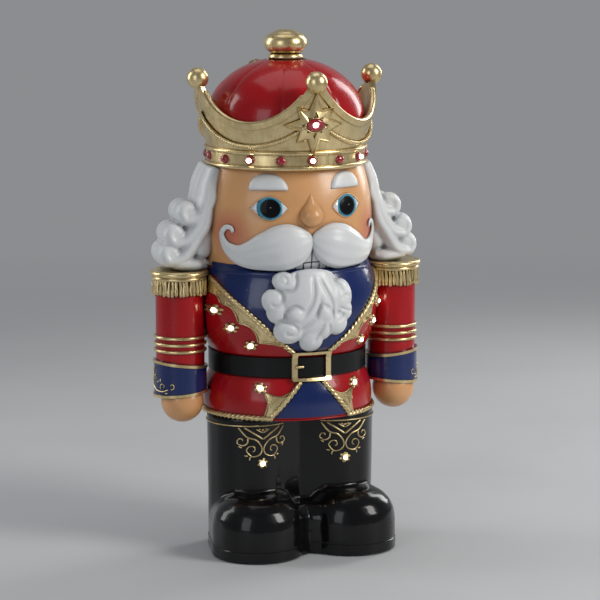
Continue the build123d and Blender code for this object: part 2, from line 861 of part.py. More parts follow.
# ------------------------------------------------------------------ hair
with BuildPart() as back_hair:
    with BuildSketch(Plane.XZ):
        with BuildLine():
            Line((0, shoulder_z), (back_hair_low_radius, shoulder_z))
            Line((back_hair_low_radius, shoulder_z), (back_hair_low_radius + 2, shoulder_z + 12))
            ThreePointArc((back_hair_low_radius + 2, shoulder_z + 12),
                          (back_hair_waist_radius, shoulder_z + 46),
                          (back_hair_top_radius, brow_z))
            Line((back_hair_top_radius, brow_z), (0, brow_z))
            Line((0, brow_z), (0, shoulder_z))
        make_face()
    revolve(axis=Axis.Z)
    with BuildSketch(Plane.XZ.offset(-hair_back_y / 2)):
        Rectangle(400, 1200)
    extrude(amount=-400, mode=Mode.INTERSECT)
    add(head_outside, mode=Mode.SUBTRACT)

for side, name in ((-1, "right"), (1, "left")):
    with BuildPart() as side_hair:
        with BuildSketch(Plane.XZ.offset(-hair_front_y)):
            with BuildLine():
                low_x, low_z, low_r = CURLS[-1]
                Spline(*[(side * x, shoulder_z + z) for x, z in STRAND])
                Polyline((side * STRAND[-1][0], shoulder_z + STRAND[-1][1]),
                         *[(side * x, shoulder_z + z) for x, z, _ in CURLS],
                         (side * low_x, shoulder_z), (0, shoulder_z), (0, shoulder_z + STRAND[0][1]),
                         (side * STRAND[0][0], shoulder_z + STRAND[0][1]))
            make_face()
            for x, z, radius in CURLS:
                with Locations((side * x, shoulder_z + z)):
                    Circle(radius)
        extrude(amount=hair_front_y - hair_back_y)
        add(head_outside, mode=Mode.SUBTRACT)
        add(back_hair.part, mode=Mode.SUBTRACT)
    save(on_head(side_hair.part), "hair_" + name)
save(on_head(back_hair.part), "hair_back")

# ------------------------------------------------------------------ crown
def flare_ring(inner, outer):
    """Flared crown wall between two offsets from its outer face."""
    with BuildPart() as ring:
        with BuildSketch(Plane.XZ):
            with BuildLine():
                face = [(r, brow_z + z) for r, z in CROWN_FLARE]
                Spline(*[(r + outer, z) for r, z in face])
                Line((face[-1][0] + outer, face[-1][1]), (face[-1][0] + inner, face[-1][1]))
                Spline(*[(r + inner, z) for r, z in reversed(face)])
                Line((face[0][0] + inner, face[0][1]), (face[0][0] + outer, face[0][1]))
            make_face()
        revolve(axis=Axis.Z)
    return ring.part


def scoops(radius, lowest, arc_radius):
    """Long cylinders across the crown, shared by its rim and the swags below each dip."""
    with BuildPart() as rollers:
        for angle in (45, 135):
            axis = (cos(radians(angle)), sin(radians(angle)), 0)
            with Locations(Plane(origin=(0, 0, brow_z + lowest + arc_radius), z_dir=axis)):
                Cylinder(radius, 400)
    return rollers.part


swag_height = dip_height - swag_drop
with BuildPart() as crown:
    add(flare_ring(-crown_wall, 0))
    add(flare_ring(-crown_wall, rim_proud)
        & scoops(dip_radius + rim_width, dip_height, dip_radius))
    add(flare_ring(-crown_wall / 2, swag_proud)
        & (scoops(swag_radius + swag_width / 2, swag_height, swag_radius)
           - scoops(swag_radius - swag_width / 2, swag_height, swag_radius)))
    add(scoops(dip_radius, dip_height, dip_radius), mode=Mode.SUBTRACT)
    with BuildSketch(Plane.XZ):
        with BuildLine():
            foot, top, bead = brow_z, brow_z + band_height + band_bead, band_bead
            inner = band_radius - crown_wall
            Line((crown_bore, foot), (band_radius, foot))
            ThreePointArc((band_radius, foot), (band_radius + bead, foot + bead),
                          (band_radius, foot + 2 * bead))
            Line((band_radius, foot + 2 * bead), (band_radius, top - 2 * bead))
            ThreePointArc((band_radius, top - 2 * bead), (band_radius + bead, top - bead),
                          (band_radius, top))
            Polyline((band_radius, top), (inner, top), (inner, foot + crown_floor),
                     (crown_bore, foot + crown_floor), (crown_bore, foot))
        make_face()
    revolve(axis=Axis.Z)
    for angle in (0, 90, 180, 270):
        with Locations(round_plane(angle, point_ball_height, point_ball_reach).origin):
            Sphere(point_ball_radius)

lit_gem_planes = [round_plane(number * 360 / gem_count, (band_height + band_bead) / 2,
                              band_radius + gem_proud - 1) for number in lit_gems]
star_led_plane = round_plane(0, star_height, CROWN_FLARE[2][0] + star_proud + star_gem_proud - 1)
crown_led_planes = lit_gem_planes + [star_led_plane]
crown_led_holes = studs(crown_led_planes, led_radius + led_gap, -20, 10)
save(crown.part - crown_led_holes, "crown")

with BuildPart() as crown_star:
    with BuildSketch(Plane.XZ):
        with Locations((0, brow_z + star_height)):
            reach = {0: star_long, 2: star_short, 1: star_valley, 3: star_valley}
            Polygon(*[(reach[k % 4] * cos(radians(22.5 * k)), reach[k % 4] * sin(radians(22.5 * k)))
                      for k in range(16)], align=None)
    extrude(amount=200)
    add(flare_ring(0, star_proud), mode=Mode.INTERSECT)
    add(crown.part, mode=Mode.SUBTRACT)
    add(crown_led_holes, mode=Mode.SUBTRACT)
save(crown_star.part, "crown_star")

with BuildPart() as star_gem:
    with BuildSketch(Plane.XZ):
        with Locations((0, brow_z + star_height)):
            Ellipse(star_gem_half_width, star_gem_half_height)
    extrude(amount=200)
    add(flare_ring(star_proud, star_proud + star_gem_proud), mode=Mode.INTERSECT)
    add(crown_led_holes, mode=Mode.SUBTRACT)
save(star_gem.part, "star_gem")

with BuildPart() as crown_gems:
    for number in range(gem_count):
        gem_plane = round_plane(number * 360 / gem_count, (band_height + band_bead) / 2,
                                band_radius + gem_proud - gem_radius)
        with Locations(gem_plane.origin):
            Sphere(gem_radius)
    add(crown.part, mode=Mode.SUBTRACT)
    with BuildSketch(Plane.XY.offset(brow_z)):
        Circle(band_radius)
    extrude(amount=band_height * 2, mode=Mode.SUBTRACT)
    add(crown_led_holes, mode=Mode.SUBTRACT)
save(crown_gems.part, "crown_gems")
save(led_lamps(crown_led_planes, crown_wall + led_proud - 1.5), "crown_leds")


def cap_body(grow=0.0):
    """Round padded cap inside the crown, up to the seat of its finial."""
    low = brow_z + crown_floor
    spring = brow_z + cap_spring_height
    inner = band_radius - crown_wall - 1.5 + grow
    rise = finial_z + 2.4 - spring + grow
    with BuildPart() as body:
        with BuildSketch(Plane.XZ):
            with BuildLine():
                Line((0, low), (inner, low))
                Line((inner, low), (inner, brow_z + band_height))
                Line((inner, brow_z + band_height), (cap_radius + grow, spring))
                EllipticalCenterArc((0, spring), cap_radius + grow, rise, 0, arc_size=90)
                Line((0, spring + rise), (0, low))
            make_face()
        revolve(axis=Axis.Z)
        add(slab(finial_z, finial_z + 50), mode=Mode.SUBTRACT)
    return body.part


with BuildPart() as crown_cap:
    add(cap_body())
    with BuildPart(mode=Mode.PRIVATE) as seams:
        with BuildSketch(Plane.XY.offset(brow_z + cap_spring_height)):
            with PolarLocations(0, seam_count // 2, 360 / seam_count / 2, 180):
                Rectangle(3 * cap_radius, seam_width)
        extrude(amount=cap_height)
        add(cap_body(-seam_depth), mode=Mode.SUBTRACT)
    add(seams.part, mode=Mode.SUBTRACT)
    add(cap_body(-wall) & slab(brow_z, finial_z - wall), mode=Mode.SUBTRACT)
    with BuildSketch(Plane.XY.offset(finial_z)):
        Circle(peg_radius)
    extrude(amount=-2 * wall, mode=Mode.SUBTRACT)
save(crown_cap.part, "crown_cap")

with BuildPart() as finial:
    with BuildSketch(Plane.XZ):
        with BuildLine():
            foot_r, neck_r = finial_foot_radius, finial_neck_radius
            rim_r, foot_top = foot_r - finial_bead, finial_z + 4 * finial_bead
            top_z = finial_z + finial_height
            widest_z = top_z - finial_dome
            Line((0, finial_z - peg_length), (peg_radius - led_gap, finial_z - peg_length))
            Line((peg_radius - led_gap, finial_z - peg_length), (peg_radius - led_gap, finial_z))
            Line((peg_radius - led_gap, finial_z), (rim_r, finial_z))
            ThreePointArc((rim_r, finial_z), (foot_r, finial_z + 2 * finial_bead), (rim_r, foot_top))
            Line((rim_r, foot_top), (neck_r, foot_top + finial_bead))
            ThreePointArc((neck_r, foot_top + finial_bead), (finial_radius, widest_z),
                          (neck_r, top_z - finial_cushion))
            ThreePointArc((neck_r, top_z - finial_cushion), (0.55 * neck_r, top_z - 1),
                          (finial_flat_radius, top_z))
            Line((finial_flat_radius, top_z), (0, top_z))
            Line((0, top_z), (0, finial_z - peg_length))
        make_face()
    revolve(axis=Axis.Z)
save(finial.part, "finial")

# ------------------------------------------------------------------ battery fittings
door_z = hem_z + door_low
switch_z = hem_z + switch_height
hinge_y = bezel_face_y - door_inset
window_low = door_z - hinge_radius - hinge_clearance
window_high = door_z + door_height + door_gap
rear_y = hinge_y - hinge_radius - 2 * hinge_clearance
tray_low = door_z
tray_high = window_high + tray_wall
tray_half_width = opening_half_width - door_gap


def box_between(x1, x2, y1, y2, z1, z2):
    """Plain block between two corners."""
    with BuildPart() as block:
        with BuildSketch(Plane.XY.offset(z1)):
            with Locations(((x1 + x2) / 2, (y1 + y2) / 2)):
                Rectangle(x2 - x1, y2 - y1)
        extrude(amount=z2 - z1)
    return block.part


def rod_x(radius, half_length, y, z):
    """Round rod along X about a point."""
    with BuildPart() as rod:
        with BuildSketch(Plane.YZ.offset(-half_length)):
            with Locations((y, z)):
                Circle(radius)
        extrude(amount=2 * half_length)
    return rod.part


with BuildPart() as bezel:
    add(bezel_block(0, bezel_back_y, bezel_face_y))
    recess = door_half_width + door_gap
    add(box_between(-recess, recess, rear_y, bezel_face_y + 1, window_low, window_high),
        mode=Mode.SUBTRACT)
    add(box_between(-recess + ledge_width, recess - ledge_width, bezel_back_y - 1, bezel_face_y + 1,
                    window_low, window_high - ledge_width), mode=Mode.SUBTRACT)
    notch = tongue_half_width + door_gap
    add(box_between(-notch, notch, rear_y, bezel_face_y + 1, window_high - 1,
                    door_z + door_height + tongue_height + door_gap), mode=Mode.SUBTRACT)
    add(rod_x(trunnion_radius + running_gap, door_half_width + trunnion_length + door_gap,
              hinge_y, door_z), mode=Mode.SUBTRACT)
    add(box_between(-slot_half_width, slot_half_width, bezel_back_y - 1, bezel_face_y + 1,
                    switch_z - slot_half_height, switch_z + slot_half_height), mode=Mode.SUBTRACT)
    with BuildSketch(Plane.XZ.offset(-bezel_face_y)):
        with Locations(*screw_places):
            Circle(screw_head_radius + seat_gap)
    extrude(amount=screw_head_height, mode=Mode.SUBTRACT)
    with BuildSketch(Plane.XZ.offset(-bezel_face_y)):
        with Locations(*screw_places):
            Circle(screw_shank_radius + led_gap)
    extrude(amount=bezel_thickness + 1, mode=Mode.SUBTRACT)
save(bezel.part, "battery_bezel")

with BuildPart() as battery_door:
    half = door_thickness / 2
    add(box_between(-door_half_width, door_half_width, hinge_y - half, hinge_y + half,
                    door_z, door_z + door_height))
    add(rod_x(hinge_radius, door_half_width, hinge_y, door_z))
    add(rod_x(trunnion_radius, door_half_width + trunnion_length, hinge_y, door_z))
    add(box_between(-tongue_half_width, tongue_half_width, hinge_y - half,
                    hinge_y - half + tongue_thickness, door_z + door_height - 1,
                    door_z + door_height + tongue_height))
save(battery_door.part, "battery_door")

with BuildPart() as battery_tray:
    add(box_between(-tray_half_width, tray_half_width, bezel_back_y - tray_depth, bezel_back_y,
                    tray_low - 2 * tray_wall, tray_high))
    add(box_between(-tray_half_width + tray_wall, tray_half_width - tray_wall,
                    bezel_back_y - tray_depth + tray_wall, bezel_back_y + 1,
                    tray_low - tray_wall, tray_high - tray_wall), mode=Mode.SUBTRACT)
save(battery_tray.part, "battery_tray")

cell_y = bezel_back_y - tray_depth + tray_wall + cell_radius + 1
cell_x = [(number - (cell_count - 1) / 2) * cell_pitch for number in range(cell_count)]
tray_floor = tray_low - tray_wall
tray_roof = tray_high - tray_wall
plate_faces = (tray_floor, tray_roof - contact_thickness)
spring_length = tray_roof - tray_floor - 2 * contact_thickness - cell_length - nub_height
cell_base = [tray_floor + contact_thickness + (spring_length if number % 2 else nub_height)
             for number in range(cell_count)]

with BuildPart() as battery_cells:
    for number, (x, base) in enumerate(zip(cell_x, cell_base)):
        with BuildSketch(Plane.XY.offset(base)):
            with Locations((x, cell_y)):
                Circle(cell_radius)
        extrude(amount=cell_length)
        nub_base = base + cell_length if number % 2 else base - nub_height
        with BuildSketch(Plane.XY.offset(nub_base)):
            with Locations((x, cell_y)):
                Circle(nub_radius)
        extrude(amount=nub_height)
save(battery_cells.part, "battery_cells")

with BuildPart() as contact_plates:
    for x in cell_x:
        for face in plate_faces:
            add(box_between(x - contact_half_width, x + contact_half_width,
                            cell_y - contact_half_width, cell_y + contact_half_width,
                            face, face + contact_thickness))
save(contact_plates.part, "contact_plates")

with BuildPart() as contact_springs:
    for number, (x, base) in enumerate(zip(cell_x, cell_base)):
        low = base - spring_length if number % 2 else base + cell_length
        wide, narrow = contact_half_width - 1, nub_radius
        rows = (wide, narrow) if number % 2 else (narrow, wide)
        for shrink, mode in ((0, Mode.ADD), (contact_thickness, Mode.SUBTRACT)):
            for radius, level in zip(rows, (low, low + spring_length)):
                with BuildSketch(Plane.XY.offset(level)):
                    with Locations((x, cell_y)):
                        Circle(radius - shrink)
            loft(mode=mode)
save(contact_springs.part, "contact_springs")

with BuildPart() as timer_board:
    back_y = bezel_back_y - tray_depth
    middle = (tray_low + tray_high) / 2
    add(box_between(-board_half_width, board_half_width, back_y - board_thickness, back_y,
                    middle - board_height / 2, middle + board_height / 2))
    add(box_between(-chip_half_size, chip_half_size, back_y - board_thickness - chip_thickness,
                    back_y - board_thickness, middle - chip_half_size, middle + chip_half_size))
save(timer_board.part, "timer_board")

with BuildPart() as switch_housing:
    outer_x = slot_half_width + 4 * switch_wall
    outer_z = slot_half_height + switch_wall
    add(box_between(-outer_x, outer_x, bezel_back_y - switch_depth, bezel_back_y,
                    switch_z - outer_z, switch_z + outer_z))
    add(box_between(-slot_half_width, slot_half_width, bezel_back_y - switch_depth + 2 * switch_wall,
                    bezel_back_y + 1, switch_z - slot_half_height, switch_z + slot_half_height),
        mode=Mode.SUBTRACT)
save(switch_housing.part, "switch_housing")

with BuildPart() as switch_slider:
    add(box_between(-knob_half_width, knob_half_width,
                    bezel_back_y - switch_depth + 2 * switch_wall + seat_gap,
                    bezel_face_y + knob_proud, switch_z - knob_half_height,
                    switch_z + knob_half_height))
save(switch_slider.part, "switch_slider")

with BuildPart() as back_screws:
    with BuildSketch(Plane.XZ.offset(-bezel_face_y + screw_head_height)):
        with Locations(*screw_places):
            Circle(screw_head_radius)
    extrude(amount=-screw_head_height)
    with BuildSketch(Plane.XZ.offset(-bezel_face_y + screw_head_height)):
        with Locations(*screw_places):
            Circle(screw_shank_radius)
    extrude(amount=screw_length)
save(back_screws.part, "back_screws")
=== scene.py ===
"""Looks of the nutcracker king: painted finishes, carved hair and beard, cords, lace and scrolls.

Lengths here are millimetres in the frame's axes and become metres when a mesh is made.
"""
import json
import math
import random

import bpy
import numpy as np
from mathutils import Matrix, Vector
from mathutils.bvhtree import BVHTree


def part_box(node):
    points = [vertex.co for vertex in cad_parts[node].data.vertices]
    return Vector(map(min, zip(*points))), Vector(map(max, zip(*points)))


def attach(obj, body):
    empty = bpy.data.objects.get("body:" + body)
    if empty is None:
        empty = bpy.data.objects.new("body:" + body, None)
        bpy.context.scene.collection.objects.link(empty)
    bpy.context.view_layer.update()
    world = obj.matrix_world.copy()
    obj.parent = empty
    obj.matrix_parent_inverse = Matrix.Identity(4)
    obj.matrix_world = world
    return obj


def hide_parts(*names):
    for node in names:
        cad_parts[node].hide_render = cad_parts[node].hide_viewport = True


MM = 0.001
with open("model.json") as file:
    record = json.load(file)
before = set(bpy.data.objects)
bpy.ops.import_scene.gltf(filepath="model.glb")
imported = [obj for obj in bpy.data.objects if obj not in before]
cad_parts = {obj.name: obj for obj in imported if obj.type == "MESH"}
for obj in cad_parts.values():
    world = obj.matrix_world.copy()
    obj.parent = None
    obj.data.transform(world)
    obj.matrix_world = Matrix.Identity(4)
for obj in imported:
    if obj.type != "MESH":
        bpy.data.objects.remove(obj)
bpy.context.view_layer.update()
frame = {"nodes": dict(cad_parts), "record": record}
random.seed(12)


# ---- where things are
def corner(node, which, axis):
    """One side of a CAD node's box, in millimetres: which is 0 for low, 1 for high."""
    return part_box(node)[which][axis] / MM


boots_z = corner("boots", 0, 2)
hem_z = corner("coat", 0, 2)
shoulder_z = corner("coat", 1, 2)
brow_z = corner("crown", 0, 2)
cap_top_z = corner("crown_cap", 1, 2)
arm_x = (corner("cuff_left", 0, 0) + corner("cuff_left", 1, 0)) / 2
arm_y = (corner("cuff_left", 0, 1) + corner("cuff_left", 1, 1)) / 2
cuff_radius = (corner("cuff_left", 1, 0) - corner("cuff_left", 0, 0)) / 2
sleeve_radius = corner("sleeve_left", 1, 0) - arm_x
epaulette_z = corner("epaulette_left", 0, 2)
coat_y, coat_flatness = -5.0, 0.91
head_flatness = 0.885
SIDES = ((-1, "right"), (1, "left"))
WRAP = 100.0  # radius at which lines that are wrapped round the figure are measured

# The coat's trim, as (x, height above the hem).
LAPEL_EDGE = [(20, 79), (42, 97), (64, 119), (84, 139), (96, 155), (101, 166)]
LAPEL_CUSPS = [(22, 76), (61, 92), (82, 115), (97, 136), (104.5, 147)]
SKIRT_EDGE = [(13, 46), (30, 26), (48, 4)]
SKIRT_LACE = [(22, 36), (38, 28.5), (54, 33), (51.5, 20), (55, 4)]
COAT_LEDS = [(101.5, 127.0), (87.6, 108.0), (67.5, 88.0), (57.6, 38.5)]
BOOT_LED = (51.0, 108.2)

# The crown's wall, as (radius, height above the brow), and its curved edges.
CROWN_FLARE = [(93.5, 20), (96, 31), (100.5, 51), (105, 76), (107.5, 112)]
dip_height, dip_radius = 54.0, 78.0
swag_height, swag_radius = 27.0, 96.0
band_height, band_radius = 22.6, 94.0
star_height = 53.0
gem_count = 16


# ---- finishes
class Paint:
    """A Principled material with its nodes, built up step by step."""

    def __init__(self, name, **fixed):
        self.material = bpy.data.materials.new(name)
        self.material.use_nodes = True
        self.nodes = self.material.node_tree.nodes
        self.links = self.material.node_tree.links
        self.shader = self.nodes["Principled BSDF"]
        self.place = self.node("TexCoord", {}, "Object")
        for socket, value in fixed.items():
            self.shader.inputs[socket.replace("_", " ")].default_value = value

    def node(self, kind, sources, out=0, **settings):
        """Output of a new node. Each source is a socket or a fixed value, by its input."""
        node = self.nodes.new("ShaderNode" + kind)
        for name, value in settings.items():
            setattr(node, name, value)
        for name, value in sources.items():
            if isinstance(value, bpy.types.NodeSocket):
                self.links.new(value, node.inputs[name])
            else:
                node.inputs[name].default_value = value
        return node.outputs[out]

    def noise(self, scale, detail=4.0, distortion=0.0, stretch=None):
        """Noise over the object, in cells per metre, drawn out along an axis if asked."""
        place = self.place
        if stretch:
            place = self.node("Mapping", {"Vector": place, "Scale": stretch})
        return self.node("TexNoise", {"Vector": place, "Scale": scale, "Detail": detail,
                                      "Distortion": distortion}, "Fac")

    def maths(self, operation, first, second=0.0):
        """One step of arithmetic on two values."""
        return self.node("Math", {0: first, 1: second}, operation=operation)

    def spread(self, value, low, high, to_low=0.0, to_high=1.0, way="LINEAR"):
        """Map one range of a value onto another, clamped."""
        ranges = {0: value, 1: low, 2: high, 3: to_low, 4: to_high}
        return self.node("MapRange", ranges, interpolation_type=way)

    def mix(self, amount, first, second):
        """Mix two colours, each a tuple or a socket."""
        first, second = [(*c, 1.0) if isinstance(c, tuple) else c for c in (first, second)]
        return self.node("Mix", {"Factor": amount, 6: first, 7: second}, 2, data_type="RGBA")

    def recess_shade(self, reach, low=0.35, high=0.9):
        """Mask for painted shade: 1 in narrow recesses and 0 on open ground, reach in millimetres."""
        openness = self.node("AmbientOcclusion", {"Distance": reach * MM}, "AO", samples=6)
        return self.spread(openness, low, high, 1.0, 0.0)

    def distance(self, point):
        """Metres from a point that is given in millimetres."""
        ends = {0: self.place, 1: [c * MM for c in point]}
        return self.node("VectorMath", ends, "Value", operation="DISTANCE")

    def feed(self, socket, source):
        self.links.new(source, self.shader.inputs[socket])

    def colour(self, source):
        self.feed("Base Color", source)

    def rough(self, scale, low, high, stretch=None):
        """Patchy roughness between two values."""
        self.feed("Roughness", self.spread(self.noise(scale, stretch=stretch), 0.3, 0.7, low, high))

    def bump(self, height, depth):
        """Relief from a height value, with its depth in millimetres."""
        self.feed("Normal", self.node("Bump", {"Distance": depth * MM, "Height": height}))


def gloss_paint(name, base, shade, rough=(0.16, 0.3), coat=0.4, relief=0.12, specular=0.35):
    """Lacquered paint over cast resin: soft cloudy tone, painted shade in recesses, faint orange peel.
    """
    paint = Paint(name, Coat_Weight=coat, Coat_Roughness=0.06, Specular_IOR_Level=specular)
    cloud = paint.spread(paint.noise(22, distortion=0.4), 0.35, 0.75)
    tone = paint.mix(cloud, base, tuple(c * 0.8 for c in base))
    # painted shade: the shade colour fills the recesses
    paint.colour(paint.mix(paint.recess_shade(4.0), tone, shade))
    paint.rough(45, *rough)
    paint.bump(paint.noise(520, detail=2.0), relief)
    return paint.material


def gold_paint(name, base):
    """Antique gold leaf paint: brushed satin, browner where the brush missed, with dark brown painted
    shade in recesses.
    """
    paint = Paint(name, Metallic=0.92, Coat_Weight=0.25, Coat_Roughness=0.15)
    worn = paint.spread(paint.noise(70, detail=6.0), 0.45, 0.8)
    streak = paint.noise(260, detail=3.0, stretch=(1.0, 1.0, 0.25))
    tone = paint.mix(worn, base, tuple(c * k for c, k in zip(base, (0.72, 0.66, 0.55))))
    tone = paint.mix(paint.spread(streak, 0.35, 0.75, 0.0, 0.25), tone, (0.42, 0.31, 0.14))
    # painted shade: dark brown in recesses
    paint.colour(paint.mix(paint.recess_shade(2.2, 0.3, 0.95), tone, (0.13, 0.085, 0.032)))
    paint.rough(160, 0.24, 0.38, stretch=(1.0, 1.0, 0.3))
    paint.bump(streak, 0.1)
    return paint.material


def carved_white(name):
    """Satin white paint on carved hair, with grey painted shade in the grooves."""
    paint = Paint(name, Coat_Weight=0.2, Coat_Roughness=0.25)
    cloud = paint.spread(paint.noise(18, distortion=0.3), 0.35, 0.8)
    tone = paint.mix(cloud, (0.80, 0.81, 0.81), (0.71, 0.73, 0.74))
    # painted shade: grey in the grooves
    paint.colour(paint.mix(paint.recess_shade(7.0, 0.2, 0.95), tone, (0.26, 0.28, 0.30)))
    paint.rough(60, 0.32, 0.46)
    paint.bump(paint.noise(420, detail=3.0), 0.1)
    return paint.material


def skin(name):
    """Satin peach paint with a red blush round each end of the moustache, and brown painted shade in
    its hollows.
    """
    paint = Paint(name, Coat_Weight=0.35, Coat_Roughness=0.18)
    cloud = paint.spread(paint.noise(16, distortion=0.5), 0.35, 0.75)
    tone = paint.mix(cloud, (0.78, 0.41, 0.175), (0.70, 0.35, 0.14))
    for side in (-1, 1):
        blush = paint.spread(paint.distance((side * 86, -50, 379)), 4 * MM, 34 * MM, 1.0, 0.0)
        tone = paint.mix(blush, tone, (0.66, 0.17, 0.10))
    # painted shade: brown in recesses
    paint.colour(paint.mix(paint.recess_shade(6.0, 0.2, 0.9), tone, (0.25, 0.10, 0.04)))
    paint.rough(60, 0.28, 0.4)
    paint.bump(paint.noise(480, detail=2.0), 0.1)
    return paint.material


def plain(name, base, shade, scale, rough, relief, relief_scale, **fixed):
    """A mottled finish for small and hidden pieces."""
    paint = Paint(name, **fixed)
    paint.colour(paint.mix(paint.spread(paint.noise(scale), 0.35, 0.7), base, shade))
    paint.rough(scale * 2, *rough)
    paint.bump(paint.noise(relief_scale), relief)
    return paint.material


def lamp_lens(name):
    """Lit lens of a warm white LED, a little uneven."""
    paint = Paint(name, Roughness=0.2, Emission_Strength=14.0)
    flicker = paint.spread(paint.noise(900), 0.3, 0.7)
    paint.colour(paint.mix(flicker, (1.0, 0.95, 0.85), (1.0, 0.88, 0.7)))
    paint.feed("Emission Color", paint.mix(flicker, (1.0, 0.93, 0.80), (1.0, 0.86, 0.66)))
    return paint.material


FINISH = {
    "red_paint": gloss_paint("candy_red", (0.46, 0.006, 0.010), (0.08, 0.001, 0.002), coat=0.3,
                             specular=0.28),
    "gold_paint": gold_paint("antique_gold", (0.88, 0.70, 0.37)),
    "navy_paint": gloss_paint("navy_gloss", (0.007, 0.022, 0.125), (0.002, 0.004, 0.015)),
    "black_paint": gloss_paint("black_gloss", (0.004, 0.004, 0.0045), (0.001, 0.001, 0.001),
                               specular=0.15),
    "belt_paint": gloss_paint("belt_black", (0.006, 0.0065, 0.0065), (0.001, 0.001, 0.001),
                              rough=(0.3, 0.46), coat=0.1, relief=0.3, specular=0.2),
    "white_paint": carved_white("carved_white"),
    "tooth_paint": carved_white("tooth_white"),
    "eye_paint": plain("eye_white", (0.82, 0.83, 0.84), (0.72, 0.75, 0.78), 60, (0.1, 0.2), 0.03, 300,
                       Coat_Weight=0.8),
    "skin_paint": skin("peach_skin"),
    "gem_resin": plain("ruby_resin", (0.40, 0.008, 0.018), (0.24, 0.004, 0.012), 160, (0.05, 0.14),
                       0.05, 300, Coat_Weight=1.0, IOR=1.55),
    "led_lens": lamp_lens("warm_led"),
    "felt": plain("black_felt", (0.03, 0.03, 0.032), (0.055, 0.055, 0.06), 400, (0.9, 1.0), 0.5, 1600,
                  Sheen_Weight=0.4),
    "black_plastic": plain("grained_plastic", (0.022, 0.022, 0.024), (0.034, 0.034, 0.036), 90,
                           (0.42, 0.56), 0.25, 900),
    "steel": plain("bright_steel", (0.55, 0.55, 0.56), (0.42, 0.42, 0.44), 200, (0.22, 0.4), 0.06, 900,
                   Metallic=1.0),
    "cell_sleeve": plain("cell_sleeve", (0.10, 0.11, 0.12), (0.07, 0.075, 0.08), 60, (0.25, 0.35),
                         0.03, 300),
    "board_laminate": plain("board_green", (0.02, 0.12, 0.05), (0.015, 0.085, 0.035), 120,
                            (0.35, 0.5), 0.05, 700),
}


# ---- mesh building
def joined(shapes):
    """Several (points, faces) shapes as one."""
    verts, faces = [], []
    for points, polygons in shapes:
        start = len(verts)
        verts.extend(points)
        faces.extend([tuple(start + k for k in face) for face in polygons])
    return verts, faces


def mesh_object(name, shapes, material, smooth=True):
    """An object made of (points, faces) shapes in millimetres."""
    verts, faces = joined(shapes)
    mesh = bpy.data.meshes.new(name)
    mesh.from_pydata([tuple(float(c) * MM for c in v) for v in verts], [], faces)
    mesh.update()
    mesh.polygons.foreach_set("use_smooth", [smooth] * len(mesh.polygons))
    mesh.materials.append(material)
    obj = bpy.data.objects.new(name, mesh)
    bpy.context.scene.collection.objects.link(obj)
    return obj


def piece(name, shapes, slot, replaces=(), material=None, smooth=True):
    """A piece that rides on the figure with its slot's finish, and stands in for some nodes."""
    obj = mesh_object(name, shapes, material or FINISH[slot], smooth)
    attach(obj, "figure")
    if replaces:
        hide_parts(*replaces)
    return obj


def grid_faces(rows, columns, closed=True):
    """Quads of a grid of points, its columns closed into a loop or left open."""
    last = columns if closed else columns - 1
    return [(r * columns + c, r * columns + (c + 1) % columns,
             (r + 1) * columns + (c + 1) % columns, (r + 1) * columns + c)
            for r in range(rows - 1) for c in range(last)]


def fan(start, count, tip):
    """Triangles from a ring of points to one tip."""
    return [(start + k, start + (k + 1) % count, tip) for k in range(count)]


def mirrored(side, points):
    """Points with their first value on one side."""
    return [(side * p[0], *p[1:]) for p in points]


def beside(centre, radius, angle):
    """Place round an upright axis, by its angle from the front in radians."""
    return centre[0] + radius * math.sin(angle), centre[1] - radius * math.cos(angle)


def arc(x, z, wide, high, start, end, count):
    """Points along part of an upright ellipse, from one angle to another in radians."""
    return [(x + wide * math.cos(t), z + high * math.sin(t)) for t in np.linspace(start, end, count)]


def travelled(path):
    """Distance along a path at each of its points."""
    return np.concatenate([[0], np.cumsum(np.linalg.norm(np.diff(path, axis=0), axis=1))])


def unit(rows):
    """Each row's direction."""
    return rows / (np.linalg.norm(rows, axis=1)[:, None] + 1e-9)


def smooth_line(points, spacing):
    """Curve through the points, every column eased alike, at an even spacing in the first two."""
    points = np.array(points, float)
    p = np.vstack([2 * points[0] - points[1], points, 2 * points[-1] - points[-2]])
    t = np.linspace(0, 1, 13)[:-1, None]
    spans = [0.5 * (2 * b + (c - a) * t + (2 * a - 5 * b + 4 * c - d) * t**2
                    + (3 * b - 3 * c + d - a) * t**3)
             for a, b, c, d in zip(p[:-3], p[1:-2], p[2:-1], p[3:])]
    curve = np.vstack(spans + [points[-1:]])
    along = travelled(curve[:, :2])
    steps = np.linspace(0, along[-1], max(4, int(along[-1] / spacing) + 1))
    return np.column_stack([np.interp(steps, along, column) for column in curve.T])


def tube(path, radii, outs=(0, -1, 0), ends=(True, True), flat=1.0, lobes=0, lobe_depth=0.0,
         pitch=0.0, segments=12):
    """Closed tube on a path, its ends rounded or cut. Lobes run round it and turn once per pitch."""
    path = np.array(path, float)
    radii = round_ends(path, radii, *ends)
    tangents = unit(np.gradient(path, axis=0))
    across = unit(np.cross(tangents, np.broadcast_to(np.array(outs, float), path.shape)))
    up = np.cross(across, tangents)
    angles = 2 * math.pi * np.arange(segments) / segments
    turn = 2 * math.pi * travelled(path)[:, None] / pitch if pitch else 0.0
    reach = radii[:, None] * (1 + lobe_depth * np.cos(lobes * (angles[None, :] - turn)))
    rings = (path[:, None, :] + across[:, None, :] * (reach * np.cos(angles))[..., None]
             + up[:, None, :] * (flat * reach * np.sin(angles))[..., None])
    verts = list(rings.reshape(-1, 3)) + [path[0], path[-1]]
    tip = len(verts) - 2
    faces = grid_faces(len(path), segments) + [f[::-1] for f in fan(0, segments, tip)]
    return verts, faces + fan(tip - segments, segments, tip + 1)


